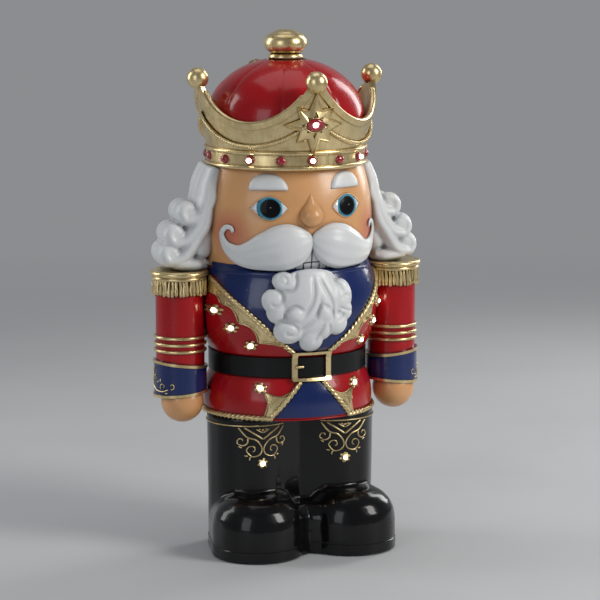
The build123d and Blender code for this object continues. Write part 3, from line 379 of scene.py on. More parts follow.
def round_ends(path, radii, start, end):
    """Radii that close to a rounded tip at the wanted ends of a path."""
    radii = np.broadcast_to(np.array(radii, float), len(path)).copy()
    along = travelled(path)
    for wanted, distance in ((start, along), (end, along[-1] - along)):
        if wanted:
            share = np.clip(1 - distance / np.maximum(radii, 0.01), 0, 1)
            radii *= np.sqrt(np.maximum(1 - share**2, 0.0025))
    return radii


def rope(path, radius, outs, pitch=None):
    """Three-strand twisted cord."""
    return tube(path, radius, outs, lobes=3, lobe_depth=0.17, pitch=3 * (pitch or 2.2 * radius),
                segments=18)


def lathe(profile, centre, segments=96, wave=None):
    """Surface turned about an upright axis, with an optional radial wave(angle, share of the way)."""
    verts = []
    for step, (radius, z) in enumerate(profile):
        for k in range(segments):
            angle = 2 * math.pi * k / segments
            swell = wave(angle, step / (len(profile) - 1)) if wave else 0
            verts.append((*beside(centre, max(radius + swell, 0.01), angle), z))
    return verts, grid_faces(len(profile), segments)


def fused(name, shapes, voxel, eases, slot, replaces):
    """Overlapping shapes melted into one carved mass, then eased."""
    obj = piece(name, shapes, slot, replaces)
    melt = obj.modifiers.new("melt", "REMESH")
    melt.mode, melt.voxel_size = "VOXEL", voxel * MM
    ease = obj.modifiers.new("ease", "SMOOTH")
    ease.factor, ease.iterations = 0.5, eases
    graph = bpy.context.evaluated_depsgraph_get()
    mesh = bpy.data.meshes.new_from_object(obj.evaluated_get(graph))
    obj.modifiers.clear()
    obj.data = mesh
    mesh.polygons.foreach_set("use_smooth", [True] * len(mesh.polygons))
    mesh.update()
    return obj


def thickened(obj, thickness):
    """Give an open sheet some millimetres of thickness, on its inner side."""
    solid = obj.modifiers.new("thick", "SOLIDIFY")
    solid.thickness = thickness * MM
    solid.offset = -1.0


# ---- laying relief on the castings
class Skin:
    """Places relief on castings, named nodes or pieces: u across, v up, lifted along the way out."""

    def __init__(self, *nodes):
        points, polygons = [], []
        for node in nodes:
            mesh = (frame["nodes"][node] if isinstance(node, str) else node).data
            start = len(points)
            points.extend([v.co / MM for v in mesh.vertices])
            polygons.extend([[start + k for k in p.vertices] for p in mesh.polygons])
        self.tree = BVHTree.FromPolygons(points, polygons)

    def cast(self, start, aim):
        """Where a ray meets the castings, or the nearest place on them where it misses."""
        hit = self.tree.ray_cast(Vector(start), Vector(aim).normalized())[0]
        return hit or self.tree.find_nearest(Vector(start) + 150 * Vector(aim).normalized())[0]


class FrontSkin(Skin):
    """Seen from the front: u is x and v is z, on a body pressed flatter front to back."""

    def __init__(self, nodes, centre=(0.0, 0.0), flatness=1.0, base=0.0):
        super().__init__(*nodes)
        self.centre, self.flatness, self.base = centre, flatness, base

    def __call__(self, u, v, lift=0.0):
        hit = self.cast((u, -260, self.base + v), (0, 1, 0))
        out = Vector((hit.x - self.centre[0], (hit.y - self.centre[1]) / self.flatness**2, 0))
        out.normalize()
        return np.array(hit + out * lift), np.array(out)


class RoundSkin(Skin):
    """Wrapped round an upright axis: u runs round it from a given angle off the front."""

    def __init__(self, nodes, centre, radius=WRAP, angle=0.0, base=0.0):
        super().__init__(*nodes)
        self.centre, self.radius = Vector((*centre, 0)), radius
        self.angle, self.base = math.radians(angle), base

    def __call__(self, u, v, lift=0.0):
        angle = self.angle + u / self.radius
        out = Vector((math.sin(angle), -math.cos(angle), 0))
        z = Vector((0, 0, self.base + v))
        hit = self.cast(self.centre + z + out * 2 * self.radius, -out)
        return np.array(hit + out * lift), np.array(out)


def laid(skin_at, points, lift):
    """A flat line laid on a skin: its path, and the way out at each point."""
    placed = [skin_at(p[0], p[1], lift) for p in points]
    return np.array([p for p, _ in placed]), np.array([o for _, o in placed])


def bead_line(skin_at, points, radius, spacing=1.5, lift=0.3, taper=False, segments=8):
    """Thin raised line with round ends on a skin."""
    path, outs = laid(skin_at, smooth_line(points, spacing), lift)
    radii = radius * np.linspace(1.0, 0.55 if taper else 1.0, len(path))
    return tube(path, radii, outs, segments=segments)


def raised(skin_at, outline, centre, levels, top):
    """Pad over an outline through levels of (share of the outline, lift), closed in its middle."""
    centre = np.array(centre, float)
    spokes = np.array(outline, float) - centre
    verts = [skin_at(*(centre + share * spoke), lift)[0] for share, lift in levels for spoke in spokes]
    verts.append(skin_at(*centre, top)[0])
    count, rows = len(spokes), len(levels)
    return verts, grid_faces(rows, count) + fan((rows - 1) * count, count, rows * count)


def pillow(skin_at, outline, centre, height, rings=8, power=2.4):
    """Domed pad over an outline, its edge sunk into the skin."""
    sunk = 0.4
    shares = np.linspace(1.0, 1.0 / rings, rings)
    levels = [(1.0, -sunk)] + [(share, height * (1 - share**power) ** 0.5) for share in shares]
    return raised(skin_at, outline, centre, levels, height)


def oval(centre, half_width, half_height, count=28, tilt=0.0):
    """Points of an ellipse."""
    c, s = math.cos(tilt), math.sin(tilt)
    points = []
    for k in range(count):
        a = 2 * math.pi * k / count
        x, y = half_width * math.cos(a), half_height * math.sin(a)
        points.append((centre[0] + c * x - s * y, centre[1] + s * x + c * y))
    return points


def stud(skin_at, centre, half_width, half_height, height, count, tilt=0.0, rings=8, power=2.4):
    """Domed oval."""
    outline = oval(centre, half_width, half_height, count, tilt)
    return pillow(skin_at, outline, centre, height, rings, power)


def spiral(centre, start, turn, outer, inner, width, tip, steps):
    """Points (x, z, width) that wind from an outer to an inner radius. Start and turn in degrees."""
    points = []
    for k in range(steps + 1):
        t = k / steps
        angle = math.radians(start + turn * t)
        radius = outer + (inner - outer) * t
        points.append((centre[0] + radius * math.cos(angle), centre[1] + radius * math.sin(angle),
                       width + (tip - width) * t))
    return points


coat_skin = FrontSkin(["coat"], (0, coat_y), coat_flatness, hem_z)
head_skin = FrontSkin(["head"], (0, 0), head_flatness)
crown_skin = RoundSkin(["crown"], (0, 0), base=brow_z)


# ---- hair, moustache and beard
def moustache():
    """Two big lobes that thin out into an upward hook."""
    lobe = [(-1, 376.5, 10), (7, 373.5, 18), (20, 369, 24.5), (36, 364.5, 26.3), (52, 360, 22),
            (66, 356, 16.5), (77, 356, 11.5), (85.5, 362, 7.5), (90.3, 371, 4.6), (91.5, 380, 3.4),
            (88.5, 387, 2.9), (84, 386.5, 2.4), (82.8, 381, 1.8)]
    shapes = []
    for side in (-1, 1):
        line = smooth_line(mirrored(side, lobe), 1.2)
        path, outs = laid(head_skin, line, 2.0)
        shapes.append(tube(path, line[:, 2], outs, flat=0.50, lobes=11, lobe_depth=0.022,
                           segments=64))
    piece("moustache_carved", shapes, "white_paint", ["moustache"])


def ridge_distance(x, z, line):
    """Distance from grid points to a curve, and how far along it the nearest place is."""
    away = np.hypot(x[:, None] - line[None, :, 0], z[:, None] - line[None, :, 1])
    nearest = away.argmin(axis=1)
    return away[np.arange(len(x)), nearest], nearest / (len(line) - 1)


def carved(skin_at, domes, grooves, base, cell):
    """One carved mass: domes (x, z, rx, rz, height) melted together, then cut by grooves.

    A groove is (width, depth, points), fading in and out at its ends.
    """
    roundness, blend, thinnest, underside = 0.42, 9, 0.4, -1.5
    domes = np.array(domes, float)
    low = (domes[:, :2] - domes[:, 2:4]).min(axis=0) - cell
    high = (domes[:, :2] + domes[:, 2:4]).max(axis=0) + cell
    xs, zs = np.arange(low[0], high[0], cell), np.arange(low[1], high[1], cell)
    x, z = (g.ravel() for g in np.meshgrid(xs, zs))
    heights = []
    for cx, cz, rx, rz, rise in domes:
        inside = 1 - ((x - cx) / rx) ** 2 - ((z - cz) / rz) ** 2
        heights.append(rise * np.maximum(inside, 0) ** roundness)
    height = (np.array(heights) ** blend).sum(axis=0) ** (1 / blend)
    for width, depth, points in grooves:
        away, along = ridge_distance(x, z, smooth_line(points, 0.8))
        fade = np.clip(6 * along * (1 - along) + 0.15, 0, 1)
        height -= np.minimum(depth * fade * np.exp(-((away / width) ** 2)), 0.5 * height)
    solid = (height > thinnest).reshape(len(zs), len(xs))
    used = solid[:-1, :-1] & solid[1:, :-1] & solid[:-1, 1:] & solid[1:, 1:]
    verts, index = [], {}

    def vertex(row, column, top):
        key = (row, column, top)
        if key not in index:
            k = row * len(xs) + column
            index[key] = len(verts)
            verts.append(skin_at(x[k], z[k] - base, height[k] if top else underside)[0])
        return index[key]

    faces = []
    for row, column in zip(*np.nonzero(used)):
        ring = ((row, column), (row, column + 1), (row + 1, column + 1), (row + 1, column))
        cells = ((row - 1, column), (row, column + 1), (row + 1, column), (row, column - 1))
        faces.append([vertex(*place, True) for place in ring])
        faces.append([vertex(*place, False) for place in reversed(ring)])
        for k, (r, c) in enumerate(cells):
            if not (0 <= r < used.shape[0] and 0 <= c < used.shape[1] and used[r, c]):
                start, end = ring[k], ring[(k + 1) % 4]
                faces.append([vertex(*start, True), vertex(*start, False),
                              vertex(*end, False), vertex(*end, True)])
    return verts, faces


# The beard's lobes as (x, z, half width, half height, rise) and grooves as (width, depth, line).
BEARD_LOBES = [
    (-4, 306, 37, 34.5, 11), (-4, 288, 32, 28, 10.5), (-2, 329.5, 30, 11.5, 8),
    (-34, 326.5, 13, 12, 8.5), (-46.5, 304.5, 13, 14.5, 9), (-43, 292, 12, 14, 8),
    (-24, 289, 11, 10.5, 12.5), (-30, 270, 17.5, 16.5, 10.5), (-3.5, 258, 14.5, 15, 9),
    (9, 274, 14, 17, 9.5), (27, 276, 13.5, 14, 9.5), (33, 308, 14, 20, 9.5),
    (11, 288.5, 10, 10.5, 12), (37, 291, 10, 13, 8.5)]
BEARD_GROOVES = [
    (2.1, 3.1, [(-2, 332), (-2.5, 317), (-5, 304.5), (-12, 292), (-16, 286)]),
    (2.0, 2.7, [(4.7, 331), (11.8, 315.5), (18, 302), (20, 289), (20, 283)]),
    (2.4, 3.1, [(4.5, 309), (2, 295), (-4.5, 282.5), (-14, 273.5), (-21, 268.5)]),
    (1.6, 2.0, [(15, 337), (27, 323), (34, 311)]),
    (1.4, 1.6, [(21, 338), (35, 325), (41, 314)]),
    (2.2, 2.7, [(9, 279), (4, 267.5), (-2, 255)]),
    (1.9, 3.1, [(-20, 339), (-21.3, 325.5), (-26.5, 317.5), (-37, 316)]),
    (1.8, 2.4, [(-42, 317.5), (-37.5, 314), (-36.5, 307.8), (-40, 302), (-46, 299.5), (-48, 303)]),
    (1.5, 1.6, [(-40, 330.5), (-34.7, 334), (-30.7, 329), (-33, 324.7), (-37, 325.5)]),
    (1.7, 2.3, [(-15, 294), (-24, 299.5), (-34.5, 292), (-32, 281)]),
    (1.8, 2.4, [(-46, 281.7), (-37.8, 282), (-27.5, 278), (-21, 271.6), (-24, 265.5), (-31.5, 266),
                (-32.5, 271)]),
    (1.8, 2.3, [(-0.5, 281), (1.5, 295), (7.2, 300), (16.5, 293.5), (18.6, 286.8), (14.6, 278.4)]),
    (1.9, 2.4, [(13.7, 279), (16, 270), (16, 260)]),
    (1.8, 2.0, [(34, 289), (29.5, 282.5), (25, 279)]),
    (1.4, 1.8, [(30, 303.5), (34, 309.5), (40, 307.8), (41, 301), (36, 296)]),
    (1.6, 1.9, [(47, 290), (40, 290.5), (34, 292.7), (27, 296)]),
]


def beard():
    """Heavy beard: smooth locks under the mouth that roll into curls round its edge."""
    brim = shoulder_z - hem_z - 4

    def over_collar(u, v, lift):
        """The coat's front, carried straight up above its top edge."""
        place, out = coat_skin(u, min(v, brim), lift)
        return place + (0, 0, max(v - brim, 0)), out

    fused("beard_carved", [carved(over_collar, BEARD_LOBES, BEARD_GROOVES, hem_z, 0.8)], 0.8, 3,
          "white_paint", ["beard"])


def brows():
    """Soft white half discs over the eyes."""
    foot, half, rise = 431, 20.8, 19.8
    shapes = []
    for middle in (-46.5, 46.5):
        outline = arc(middle, foot, half, rise, 0, math.pi, 26)
        outline += [(middle + x, foot) for x in np.linspace(-half, half, 14)[1:-1]]
        shapes.append(pillow(head_skin, outline, (middle, foot + 8), 3.6, power=4.0))
    piece("eyebrows_soft", shapes, "white_paint", ["eyebrows"])


# Rolled curls at each side, as (x, height above the shoulder, radius), top one first, in three
# rows from front to back, as (y, how far the row's curls sit inwards).
CURLS = [(125.5, 66, 17.5), (139.5, 40.5, 18.5), (146, 18.5, 18.0)]
HAIR_ROWS = ((-10.0, 0.0), (13.0, -3.0), (34.0, -7.0))


def side_hair(side, name):
    """Smooth strands from under the crown that fall beside the face and roll outwards."""
    shapes = []

    def strand(points, y, flat, swing=0.0):
        """Add a lock through points (x, z, half width), swinging back along its length."""
        line = smooth_line(mirrored(side, points), 2.0)
        path = [(px, y + swing * k / len(line), pz) for k, (px, pz, _) in enumerate(line)]
        shapes.append(tube(path, line[:, 2], ends=(False, True), flat=flat, lobes=5,
                           lobe_depth=0.018, segments=28))

    for row, (y, inset) in enumerate(HAIR_ROWS):
        for number, (x, rise, radius) in enumerate(CURLS):
            centre = (x + inset, shoulder_z + rise - 1.0 * row)
            start_x = 90 - 2.5 * row + 2.0 * number
            entry = [(start_x, brow_z - 1, 7), (start_x + 7, brow_z - 24, 9.5),
                     (x + inset - 27, centre[1] + radius * 0.8, 10.5),
                     (x + inset - 13, centre[1] - radius * 0.30, 9.5)]
            if number == 2:
                entry.insert(2, (start_x + 12, brow_z - 62, 11))
            roll = spiral(centre, -75, 315, radius - 8.0, 3.4, 8.2, 5.0, steps=12)
            strand(entry + roll, y, 2.1, 2.5 * math.sin(row * 2.1 + number))
            core = [(side * centre[0], y + depth, centre[1]) for depth in (-13, -9, 9, 13)]
            shapes.append(tube(core, [radius * k for k in (0.28, 0.5, 0.5, 0.28)], (0, 0, 1),
                               ends=(False, False)))
        strand([(87 - 2 * row, brow_z - 1, 9), (95 - row, brow_z - 40, 11.5), (104, brow_z - 78, 13),
                (112 - row, shoulder_z + 16, 13), (117, shoulder_z + 4, 10)], y, 1.6, 17)
        strand([(106, shoulder_z + 5, 6), (118 + inset, shoulder_z + 4, 9),
                (147 + inset, shoulder_z + 7, 8)], y, 1.9)
    strand([(90, brow_z - 8, 8), (97, brow_z - 45, 12), (104, brow_z - 78, 15),
            (111, shoulder_z + 18, 16), (115, shoulder_z + 9, 12)], -5, 1.4, 4)
    fused("hair_carved_" + name, shapes, 1.3, 5, "white_paint", ["hair_" + name])


def back_hair():
    """Long wavy strands over the back of the head, rolled under at the shoulders."""
    at = RoundSkin(["head"], (0, 0))
    columns, rows, height = 170, 64, 118
    verts = []
    for row in range(rows):
        rise = height * row / (rows - 1)
        lift = np.interp(rise, [0, 5, 14, 46, 80, height], [10, 19, 21, 12, 8, 5.5])
        for column in range(columns):
            angle = math.radians(98 + 164 * column / (columns - 1))
            wave = 0.09 * math.sin(rise / 19 + 1.7 * math.sin(3 * angle))
            strand = abs(math.sin(13 * (angle + wave)))
            relief = 2.6 - 2.6 * strand**0.7 + 1.0 * math.sin(5 * angle + rise / 30) ** 2
            verts.append(at(WRAP * angle, shoulder_z + rise, lift - relief)[0])
    sheet = (verts, grid_faces(rows, columns, closed=False))
    thickened(piece("hair_carved_back", [sheet], "white_paint", ["hair_back"]), 6)


# ---- face
def iris_paint():
    """Black pupil, banded blue iris and dark rim, drawn about each eye's own middle."""
    paint = Paint("iris_blue", Coat_Weight=0.1, Coat_Roughness=0.05, Roughness=0.4,
                  Specular_IOR_Level=0.08)
    x, z = (paint.node("SeparateXYZ", {0: paint.place}, axis) for axis in "XZ")
    across = paint.maths("SUBTRACT", paint.maths("ABSOLUTE", x), eye_x * MM)
    up = paint.maths("SUBTRACT", z, eye_z * MM)
    squares = (paint.maths("MULTIPLY", value, value) for value in (across, up))
    distance = paint.maths("SQRT", paint.maths("ADD", *squares))
    fleck = paint.spread(paint.noise(240), 0.35, 0.7)
    banded = paint.mix(fleck, (0.045, 0.24, 0.36), (0.10, 0.36, 0.48))
    tone = (0.004, 0.004, 0.005)
    for edge, beyond in ((10.4, (0.012, 0.06, 0.10)), (11.2, banded), (13.9, (0.008, 0.045, 0.085))):
        tone = paint.mix(paint.spread(distance, (edge - 0.3) * MM, (edge + 0.3) * MM), tone, beyond)
    paint.colour(tone)
    return paint.material


eye_x, eye_z = 47.0, shoulder_z + 74.5


def eyes():
    """Almond whites with lids, domed irises and a painted highlight in each pupil."""
    iris = iris_paint()
    half, rise = 20.5, 13.4
    for side, name in SIDES:
        middle = (side * eye_x, eye_z)
        upper, lower = [[(middle[0] + way * half * t, eye_z + way * rise * (1 - t * t))
                         for t in np.linspace(-1, 1, 21)] for way in (1, -1)]
        white = pillow(head_skin, upper + lower[1:-1], middle, 1.6, power=3.0)
        piece("eye_white_" + name, [white], "eye_paint", ["eye_" + name])
        piece("eye_iris_" + name, [stud(head_skin, middle, 14.9, 14.6, 3.0, 40, power=2.6)],
              "eye_paint", material=iris)
        # painted highlight: a small white dot on each pupil
        highlight_spot = (middle[0] + 0.8, eye_z + 1.2)
        piece("eye_highlight_" + name, [stud(head_skin, highlight_spot, 0.9, 0.9, 3.35, 12, rings=3)], "white_paint")
        lids = [bead_line(head_skin, edge, 0.95, 1.4)
                for edge in (upper, [upper[-1]] + lower[1:-1] + [upper[0]])]
        piece("eye_lids_" + name, lids, "skin_paint")


def nose():
    """Teardrop nose: narrow between the eyes, round and full above the moustache."""
    profile = [(428, 0.3, 0), (424, 3.0, 1.5), (419, 6.0, 3.4), (413, 9.4, 6.0), (408, 12.2, 8.4),
               (403, 13.9, 10.4), (399, 14.2, 11.2), (395, 12.8, 10.4), (391.5, 9.4, 8.0),
               (389.6, 5.2, 5.2), (389, 0.5, 2.5)]
    line = smooth_line(profile, 1.2)
    sunk, count = 3.0, 28
    verts = []
    for z, width, reach in line:
        y = head_skin(0, z, -sunk)[0][1]
        for a in 2 * math.pi * np.arange(count) / count:
            verts.append((width * math.cos(a), y + (reach + sunk) * math.sin(a), z))
    piece("nose", [(verts, grid_faces(len(line), count))], "skin_paint")


def teeth_lines():
    """White row of teeth below the moustache with thin dark joints painted on it."""
    outline = [(-27, 337.5), (27, 337.5), (27, 346), (12, 351), (3, 366), (-3, 366), (-12, 351),
               (-27, 346)]
    outline = smooth_line(outline + outline[:1], 2.0)[:-1]
    teeth = [pillow(head_skin, outline, (0, 346), 3.4, power=6.0)]
    row = piece("teeth_row", teeth, "tooth_paint", ["teeth"])
    tooth_skin = FrontSkin([row, "head", "coat"])
    marks = [[(0, 362), (0.3, 349), (0, 338)], [(-11, 346.5), (0, 347.6), (14, 347.2)]]
    marks += [[(x, 346), (x + 0.4, 342), (x, 338.4)] for x in (-19, -9.6, 9.6, 19)]
    shapes = [bead_line(tooth_skin, mark, 0.55, 1.0, 0.25, segments=6) for mark in marks]
    piece("teeth_lines", shapes, "black_paint")


# ---- crown
def flare_at(rise):
    """Radius of the crown's wall at a height above the brow."""
    radii, rises = zip(*CROWN_FLARE)
    return float(np.interp(rise, rises, radii))


def arch_line(radius, lowest, low_angle, high_angle, steps=46):
    """Points of one curved edge of the crown: angle from its own point, and height."""
    points = []
    for angle in np.linspace(low_angle, high_angle, steps):
        rise = lowest
        for _ in range(12):  # the wall's radius depends on the height that is looked for
            across = flare_at(rise) * math.sin(math.radians(angle - 45))
            rise = lowest + radius - math.sqrt(max(radius**2 - across**2, 1.0))
        points.append((angle, rise))
    return points


def around(angle, rise, out):
    """Point beside the crown's wall, by its angle from the front in degrees."""
    return (*beside((0, 0), flare_at(rise) + out, math.radians(angle)), brow_z + rise)


def crown_edges():
    """Rolled rim along each dip, and the twisted cord that hangs below it."""
    rims, cords = [], []
    for turn in (0, 90, 180, 270):
        rim = [around(a + turn, z - 1.5, -1.6) for a, z in arch_line(dip_radius, dip_height, 6.5, 83.5)]
        outs = unit(np.array([(x, y, 0) for x, y, _ in rim]))
        rims.append(tube(rim, 3.9, outs, segments=16))
        cord = [(math.radians(a + turn) * WRAP, z + 0.6)
                for a, z in arch_line(swag_radius, swag_height, 3, 87, 200)]
        path, outs = laid(crown_skin, cord, 0.0)
        cords.append(rope(path, 2.1, outs, 3.4))
    piece("crown_rim_roll", rims, "gold_paint")
    piece("crown_cords", cords, "gold_paint")


def crown_star():
    """Eight-pointed star with raised edges and an oval stone round its light."""
    middle = (0, star_height)
    reaches = (36.0, 19.0, 29.0, 19.0) * 4
    outline = [(reach * math.cos(a), star_height + reach * math.sin(a))
               for reach, a in zip(reaches, np.radians(np.arange(16) * 22.5))]
    levels = ((1.0, -0.5), (1.0, 2.6), (0.95, 3.7), (0.87, 2.7), (0.45, 3.1))
    piece("crown_star_faceted", [raised(crown_skin, outline, middle, levels, 3.6)], "gold_paint",
          ["crown_star"], smooth=False)
    stone = stud(lambda u, v, lift: crown_skin(u, v, lift + 2.6), middle, 11, 8, 3.4, 32)
    piece("star_stone", [stone], "gem_resin", ["star_gem"])
    setting = bead_line(lambda u, v, lift: crown_skin(u, v, lift + 2.8),
                        oval(middle, 11.4, 8.4, 33), 0.8)
    piece("star_stone_setting", [setting], "gold_paint")


def crown_gems():
    """Oval red stones round the band, some of them tilted a little."""
    shapes = []
    for number in range(gem_count):
        at = RoundSkin(["crown"], (0, 0), band_radius, 360 * number / gem_count, brow_z)
        tilt = random.uniform(-0.25, 0.25)
        height = band_height / 2 + random.uniform(-0.5, 0.5)
        shapes.append(stud(at, (0, height), 6.4, 5.3, 4.0, 24, tilt, power=2.2))
    piece("crown_stones", shapes, "gem_resin", ["crown_gems"])


def padded_cap():
    """Red cap puffed up between its eight seams."""
    spring = brow_z + 54
    rise = cap_top_z + 2.4 - spring
    top = math.asin(min((cap_top_z - spring) / rise, 0.999))
    profile = [(87, brow_z + 3), (87.5, brow_z + 20), (91, brow_z + 38)]
    profile += arc(0, spring, 94, rise, 0, top, 40)

    def puff(angle, step):
        from_seam = abs(math.sin(4 * (angle - math.radians(22.5))))
        return -2.3 * (1 - from_seam**0.32) * (1 - max(0.0, step - 0.85) / 0.15)

    cap = piece("cap_padded", [lathe(profile, (0, 0), 240, puff)], "red_paint", ["crown_cap"])
    thickened(cap, 3)


# ---- coat trim
def coat_ropes():
    """Twisted gold cord down both lapels, beside the flap and round the hem."""
    for side, name in SIDES:
        for edge, node in ((LAPEL_EDGE, "lapel_rope"), (SKIRT_EDGE, "skirt_rope")):
            path, outs = laid(coat_skin, smooth_line(mirrored(side, edge), 0.7), 1.7)
            piece(f"{node}_twisted_{name}", [rope(path, 2.9, outs)], "gold_paint", [f"{node}_{name}"])
    start = math.degrees(math.asin(SKIRT_EDGE[-1][0] / WRAP))
    hem_skin = RoundSkin(["coat"], (0, coat_y), base=hem_z)
    line = [(math.radians(a) * WRAP, 2.9) for a in np.arange(start, 360 - start, 0.35)]
    path, outs = laid(hem_skin, line, 1.5)
    piece("hem_rope_twisted", [rope(path, 2.8, outs)], "gold_paint", ["hem_rope"])


def scallop(first, second):
    """Round arch between two lights."""
    (x1, z1), (x2, z2) = first, second
    bow = (0.66 * x1 + 0.34 * x2, 0.34 * z1 + 0.66 * z2 + 1.5)
    pull = (2 * bow[0] - (x1 + x2) / 2, 2 * bow[1] - (z1 + z2) / 2)
    return [((1 - t) ** 2 * x1 + 2 * t * (1 - t) * pull[0] + t * t * x2,
             (1 - t) ** 2 * z1 + 2 * t * (1 - t) * pull[1] + t * t * z2)
            for t in np.linspace(0, 1, 12)]


def lace():
    """Double raised borders and small leaves on the lace beside the cords."""
    lace_skin = FrontSkin(["coat", "lapel_lace", "skirt_lace"], (0, coat_y), coat_flatness, hem_z)
    for side, name in SIDES:
        shapes = []
        for first, second in zip(LAPEL_CUSPS[:-1], LAPEL_CUSPS[1:]):
            arch = mirrored(side, scallop(first, second))
            inner = [(x - side * 1.3, z + 2.2) for x, z in arch[2:-1]]
            shapes.append(bead_line(lace_skin, arch, 0.95, 1.2, 0.2))
            shapes.append(bead_line(lace_skin, inner, 0.55, 1.2, 0.2))
            leaf = (side * (second[0] - 3.2), second[1] - 1.0)
            for turn in (0.35, 0.95, 1.55):
                tilt = turn if side > 0 else math.pi - turn
                centre = (leaf[0] - 4.6 * math.cos(tilt) * 0.9,
                          leaf[1] + 4.6 * math.sin(tilt) * 0.2 + 1.5)
                shapes.append(stud(lace_skin, centre, 2.6, 1.1, 0.9, 12, -tilt, rings=3))
        borders = ((SKIRT_LACE[:3], 0.95), (SKIRT_LACE[2:], 0.95),
                   ([(37, 23), (44, 17), (47, 9)], 0.6), ([(40, 26), (47, 24), (49, 16)], 0.6))
        shapes += [bead_line(lace_skin, mirrored(side, line), radius, 1.2) for line, radius in borders]
        piece("lace_relief_" + name, shapes, "gold_paint")


def flower(skin_at, centre, radius=5.2):
    """Ring of six small petals round a light, with an inner lip."""
    shapes = []
    for k in range(6):
        angle = 2 * math.pi * k / 6 + 0.3
        middle = (centre[0] + radius * 0.86 * math.cos(angle),
                  centre[1] + radius * 0.86 * math.sin(angle))
        shapes.append(stud(skin_at, middle, 2.9, 2.2, 2.3, 12, angle, rings=4))
    return shapes + [bead_line(skin_at, oval(centre, 3.6, 3.6, 21), 1.0, 1.0, 1.9)]


def light_flowers(cast):
    """Petalled collars round the coat's and the boots' lights."""
    boot_skin = FrontSkin([cast])
    shapes = []
    for side in (-1, 1):
        for light in mirrored(side, COAT_LEDS):
            shapes += flower(coat_skin, light)
        shapes += flower(boot_skin, (side * BOOT_LED[0], BOOT_LED[1]), radius=4.6)
    piece("light_flowers", shapes, "gold_paint", ["led_collars"])


def flap_edge():
    """Thin red line along the bottom of the blue flap."""
    vest_skin = FrontSkin(["vest", "coat"], (0, coat_y), coat_flatness, hem_z)
    line = [(x, 1.2) for x in (-44, -22, 0, 22, 44)]
    piece("flap_edge_red", [bead_line(vest_skin, line, 0.9, 2.0)], "red_paint")


def collar_band():
    """Blue collar that turns over the coat's top edge and up round the foot of the head."""
    on_coat, on_head = RoundSkin(["coat"], (0, coat_y)), RoundSkin(["head"], (0, 0))
    # Each row's share of the way from the coat to the head, its lift, and its rise.
    rows = ((0, 0.6, -5), (0, 1.6, -3), (0, 1.8, -1), (0.25, 1.6, 0.8), (0.7, 1.6, 2.6), (1, 2.2, 4.4),
            (1, 1.8, 6.0), (1, 0.7, 7.0), (1, -0.8, 7.0))
    angles = np.radians(np.linspace(-80, 80, 90))
    verts = []
    for share, lift, rise in rows:
        for angle in angles:
            outer, out = on_coat(WRAP * angle, shoulder_z - 3)
            inner = on_head(WRAP * angle, shoulder_z + 4)[0]
            place = outer + (inner - outer) * share + out * lift
            verts.append((place[0], place[1], shoulder_z + rise))
    band = (verts, grid_faces(len(rows), len(angles), closed=False))
    piece("collar_band", [band], "navy_paint")


def buckle_pin():
    """Short rounded pin on the buckle's left bar."""
    low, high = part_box("buckle_prong")
    y, z = (low[1] + high[1]) / 2 / MM, (low[2] + high[2]) / 2 / MM
    start = corner("buckle_prong", 0, 0)
    path = [(start + reach, y, z) for reach in np.linspace(0, 11, 12)]
    pin = tube(path, np.linspace(1.9, 1.5, len(path)))
    piece("buckle_pin", [pin], "gold_paint", ["buckle_prong"])


# ---- arms
def epaulettes():
    """Rolled gold plates on the shoulders, with uneven tassels below."""
    tassels, steps, z = 46, 9, epaulette_z
    for side, name in SIDES:
        centre = (side * arm_x, arm_y)
        profile = [(0.1, z + 6.6), (20, z + 6.8), (27, z + 7.0)]
        profile += arc(31.4, z + 4.2, 3.6, 3.3, 1.9, -1.2, 14)
        profile += arc(31.0, z - 1.2, 2.4, 2.1, 1.0, -1.6, 10)
        profile += [(28.8, z - 3.0), (0.1, z - 2.6)]
        plate = lathe(profile, centre)
        piece("epaulette_rolled_" + name, [plate], "gold_paint", ["epaulette_" + name])
        shapes = []
        for k in range(tassels):
            angle = 2 * math.pi * (k + random.uniform(-0.2, 0.2)) / tassels
            out = Vector((*beside((0, 0), 1, angle), 0))
            if coat_skin.tree.ray_cast(Vector((*centre, z - 12)), out, sleeve_radius + 2)[0]:
                continue
            length = 21 + random.uniform(-1.3, 1.0)
            phase = random.uniform(0, 6.28)
            drift = random.uniform(-0.02, 0.02)
            path = []
            for t in np.linspace(0, 1, steps):
                sway = angle + drift * t + 0.016 * math.sin(phase + 5 * t)
                reach = sleeve_radius + 1.6 + 0.9 * t + 0.5 * math.sin(phase * 2 + 4 * t)
                path.append((*beside(centre, reach, sway), z - 1 - length * t))
            shapes.append(tube(path, np.linspace(1.9, 2.5, steps), out, ends=(False, True), lobes=2,
                               lobe_depth=0.12, pitch=26, segments=9))
        piece("fringe_tassels_" + name, shapes, "gold_paint", ["fringe_" + name])


def vine(skin_at, flip):
    """Scrolling stem with five curls and small leaves."""
    stem = [(-24, 33), (-19, 24), (-20, 15), (-12, 8), (0, 6), (10, 9)]
    shapes = [bead_line(skin_at, mirrored(flip, stem), 0.75, 1.2)]
    for centre, start, turn, radius in (((-13, 21), 215, -330, 5.0), ((2, 12), 230, -320, 4.6),
                                        ((-27, 13), 20, 300, 4.4), ((14, 13.5), 250, 300, 4.2),
                                        ((-17, 31), 200, -280, 3.4)):
        curl = [(x, z) for x, z, _ in spiral(centre, start, turn, radius, 1.0, 1, 1, 10)]
        shapes.append(bead_line(skin_at, mirrored(flip, curl), 0.65, 0.9, taper=True))
    for x, z, tilt in ((-7, 17, 0.9), (-22, 22, 2.3), (7, 4.6, 0.2), (-2, 19, 1.6), (-30, 20, 2.0)):
        shapes.append(stud(skin_at, (flip * x, z), 2.2, 0.9, 0.9, 10, flip * tilt, rings=3))
    return shapes


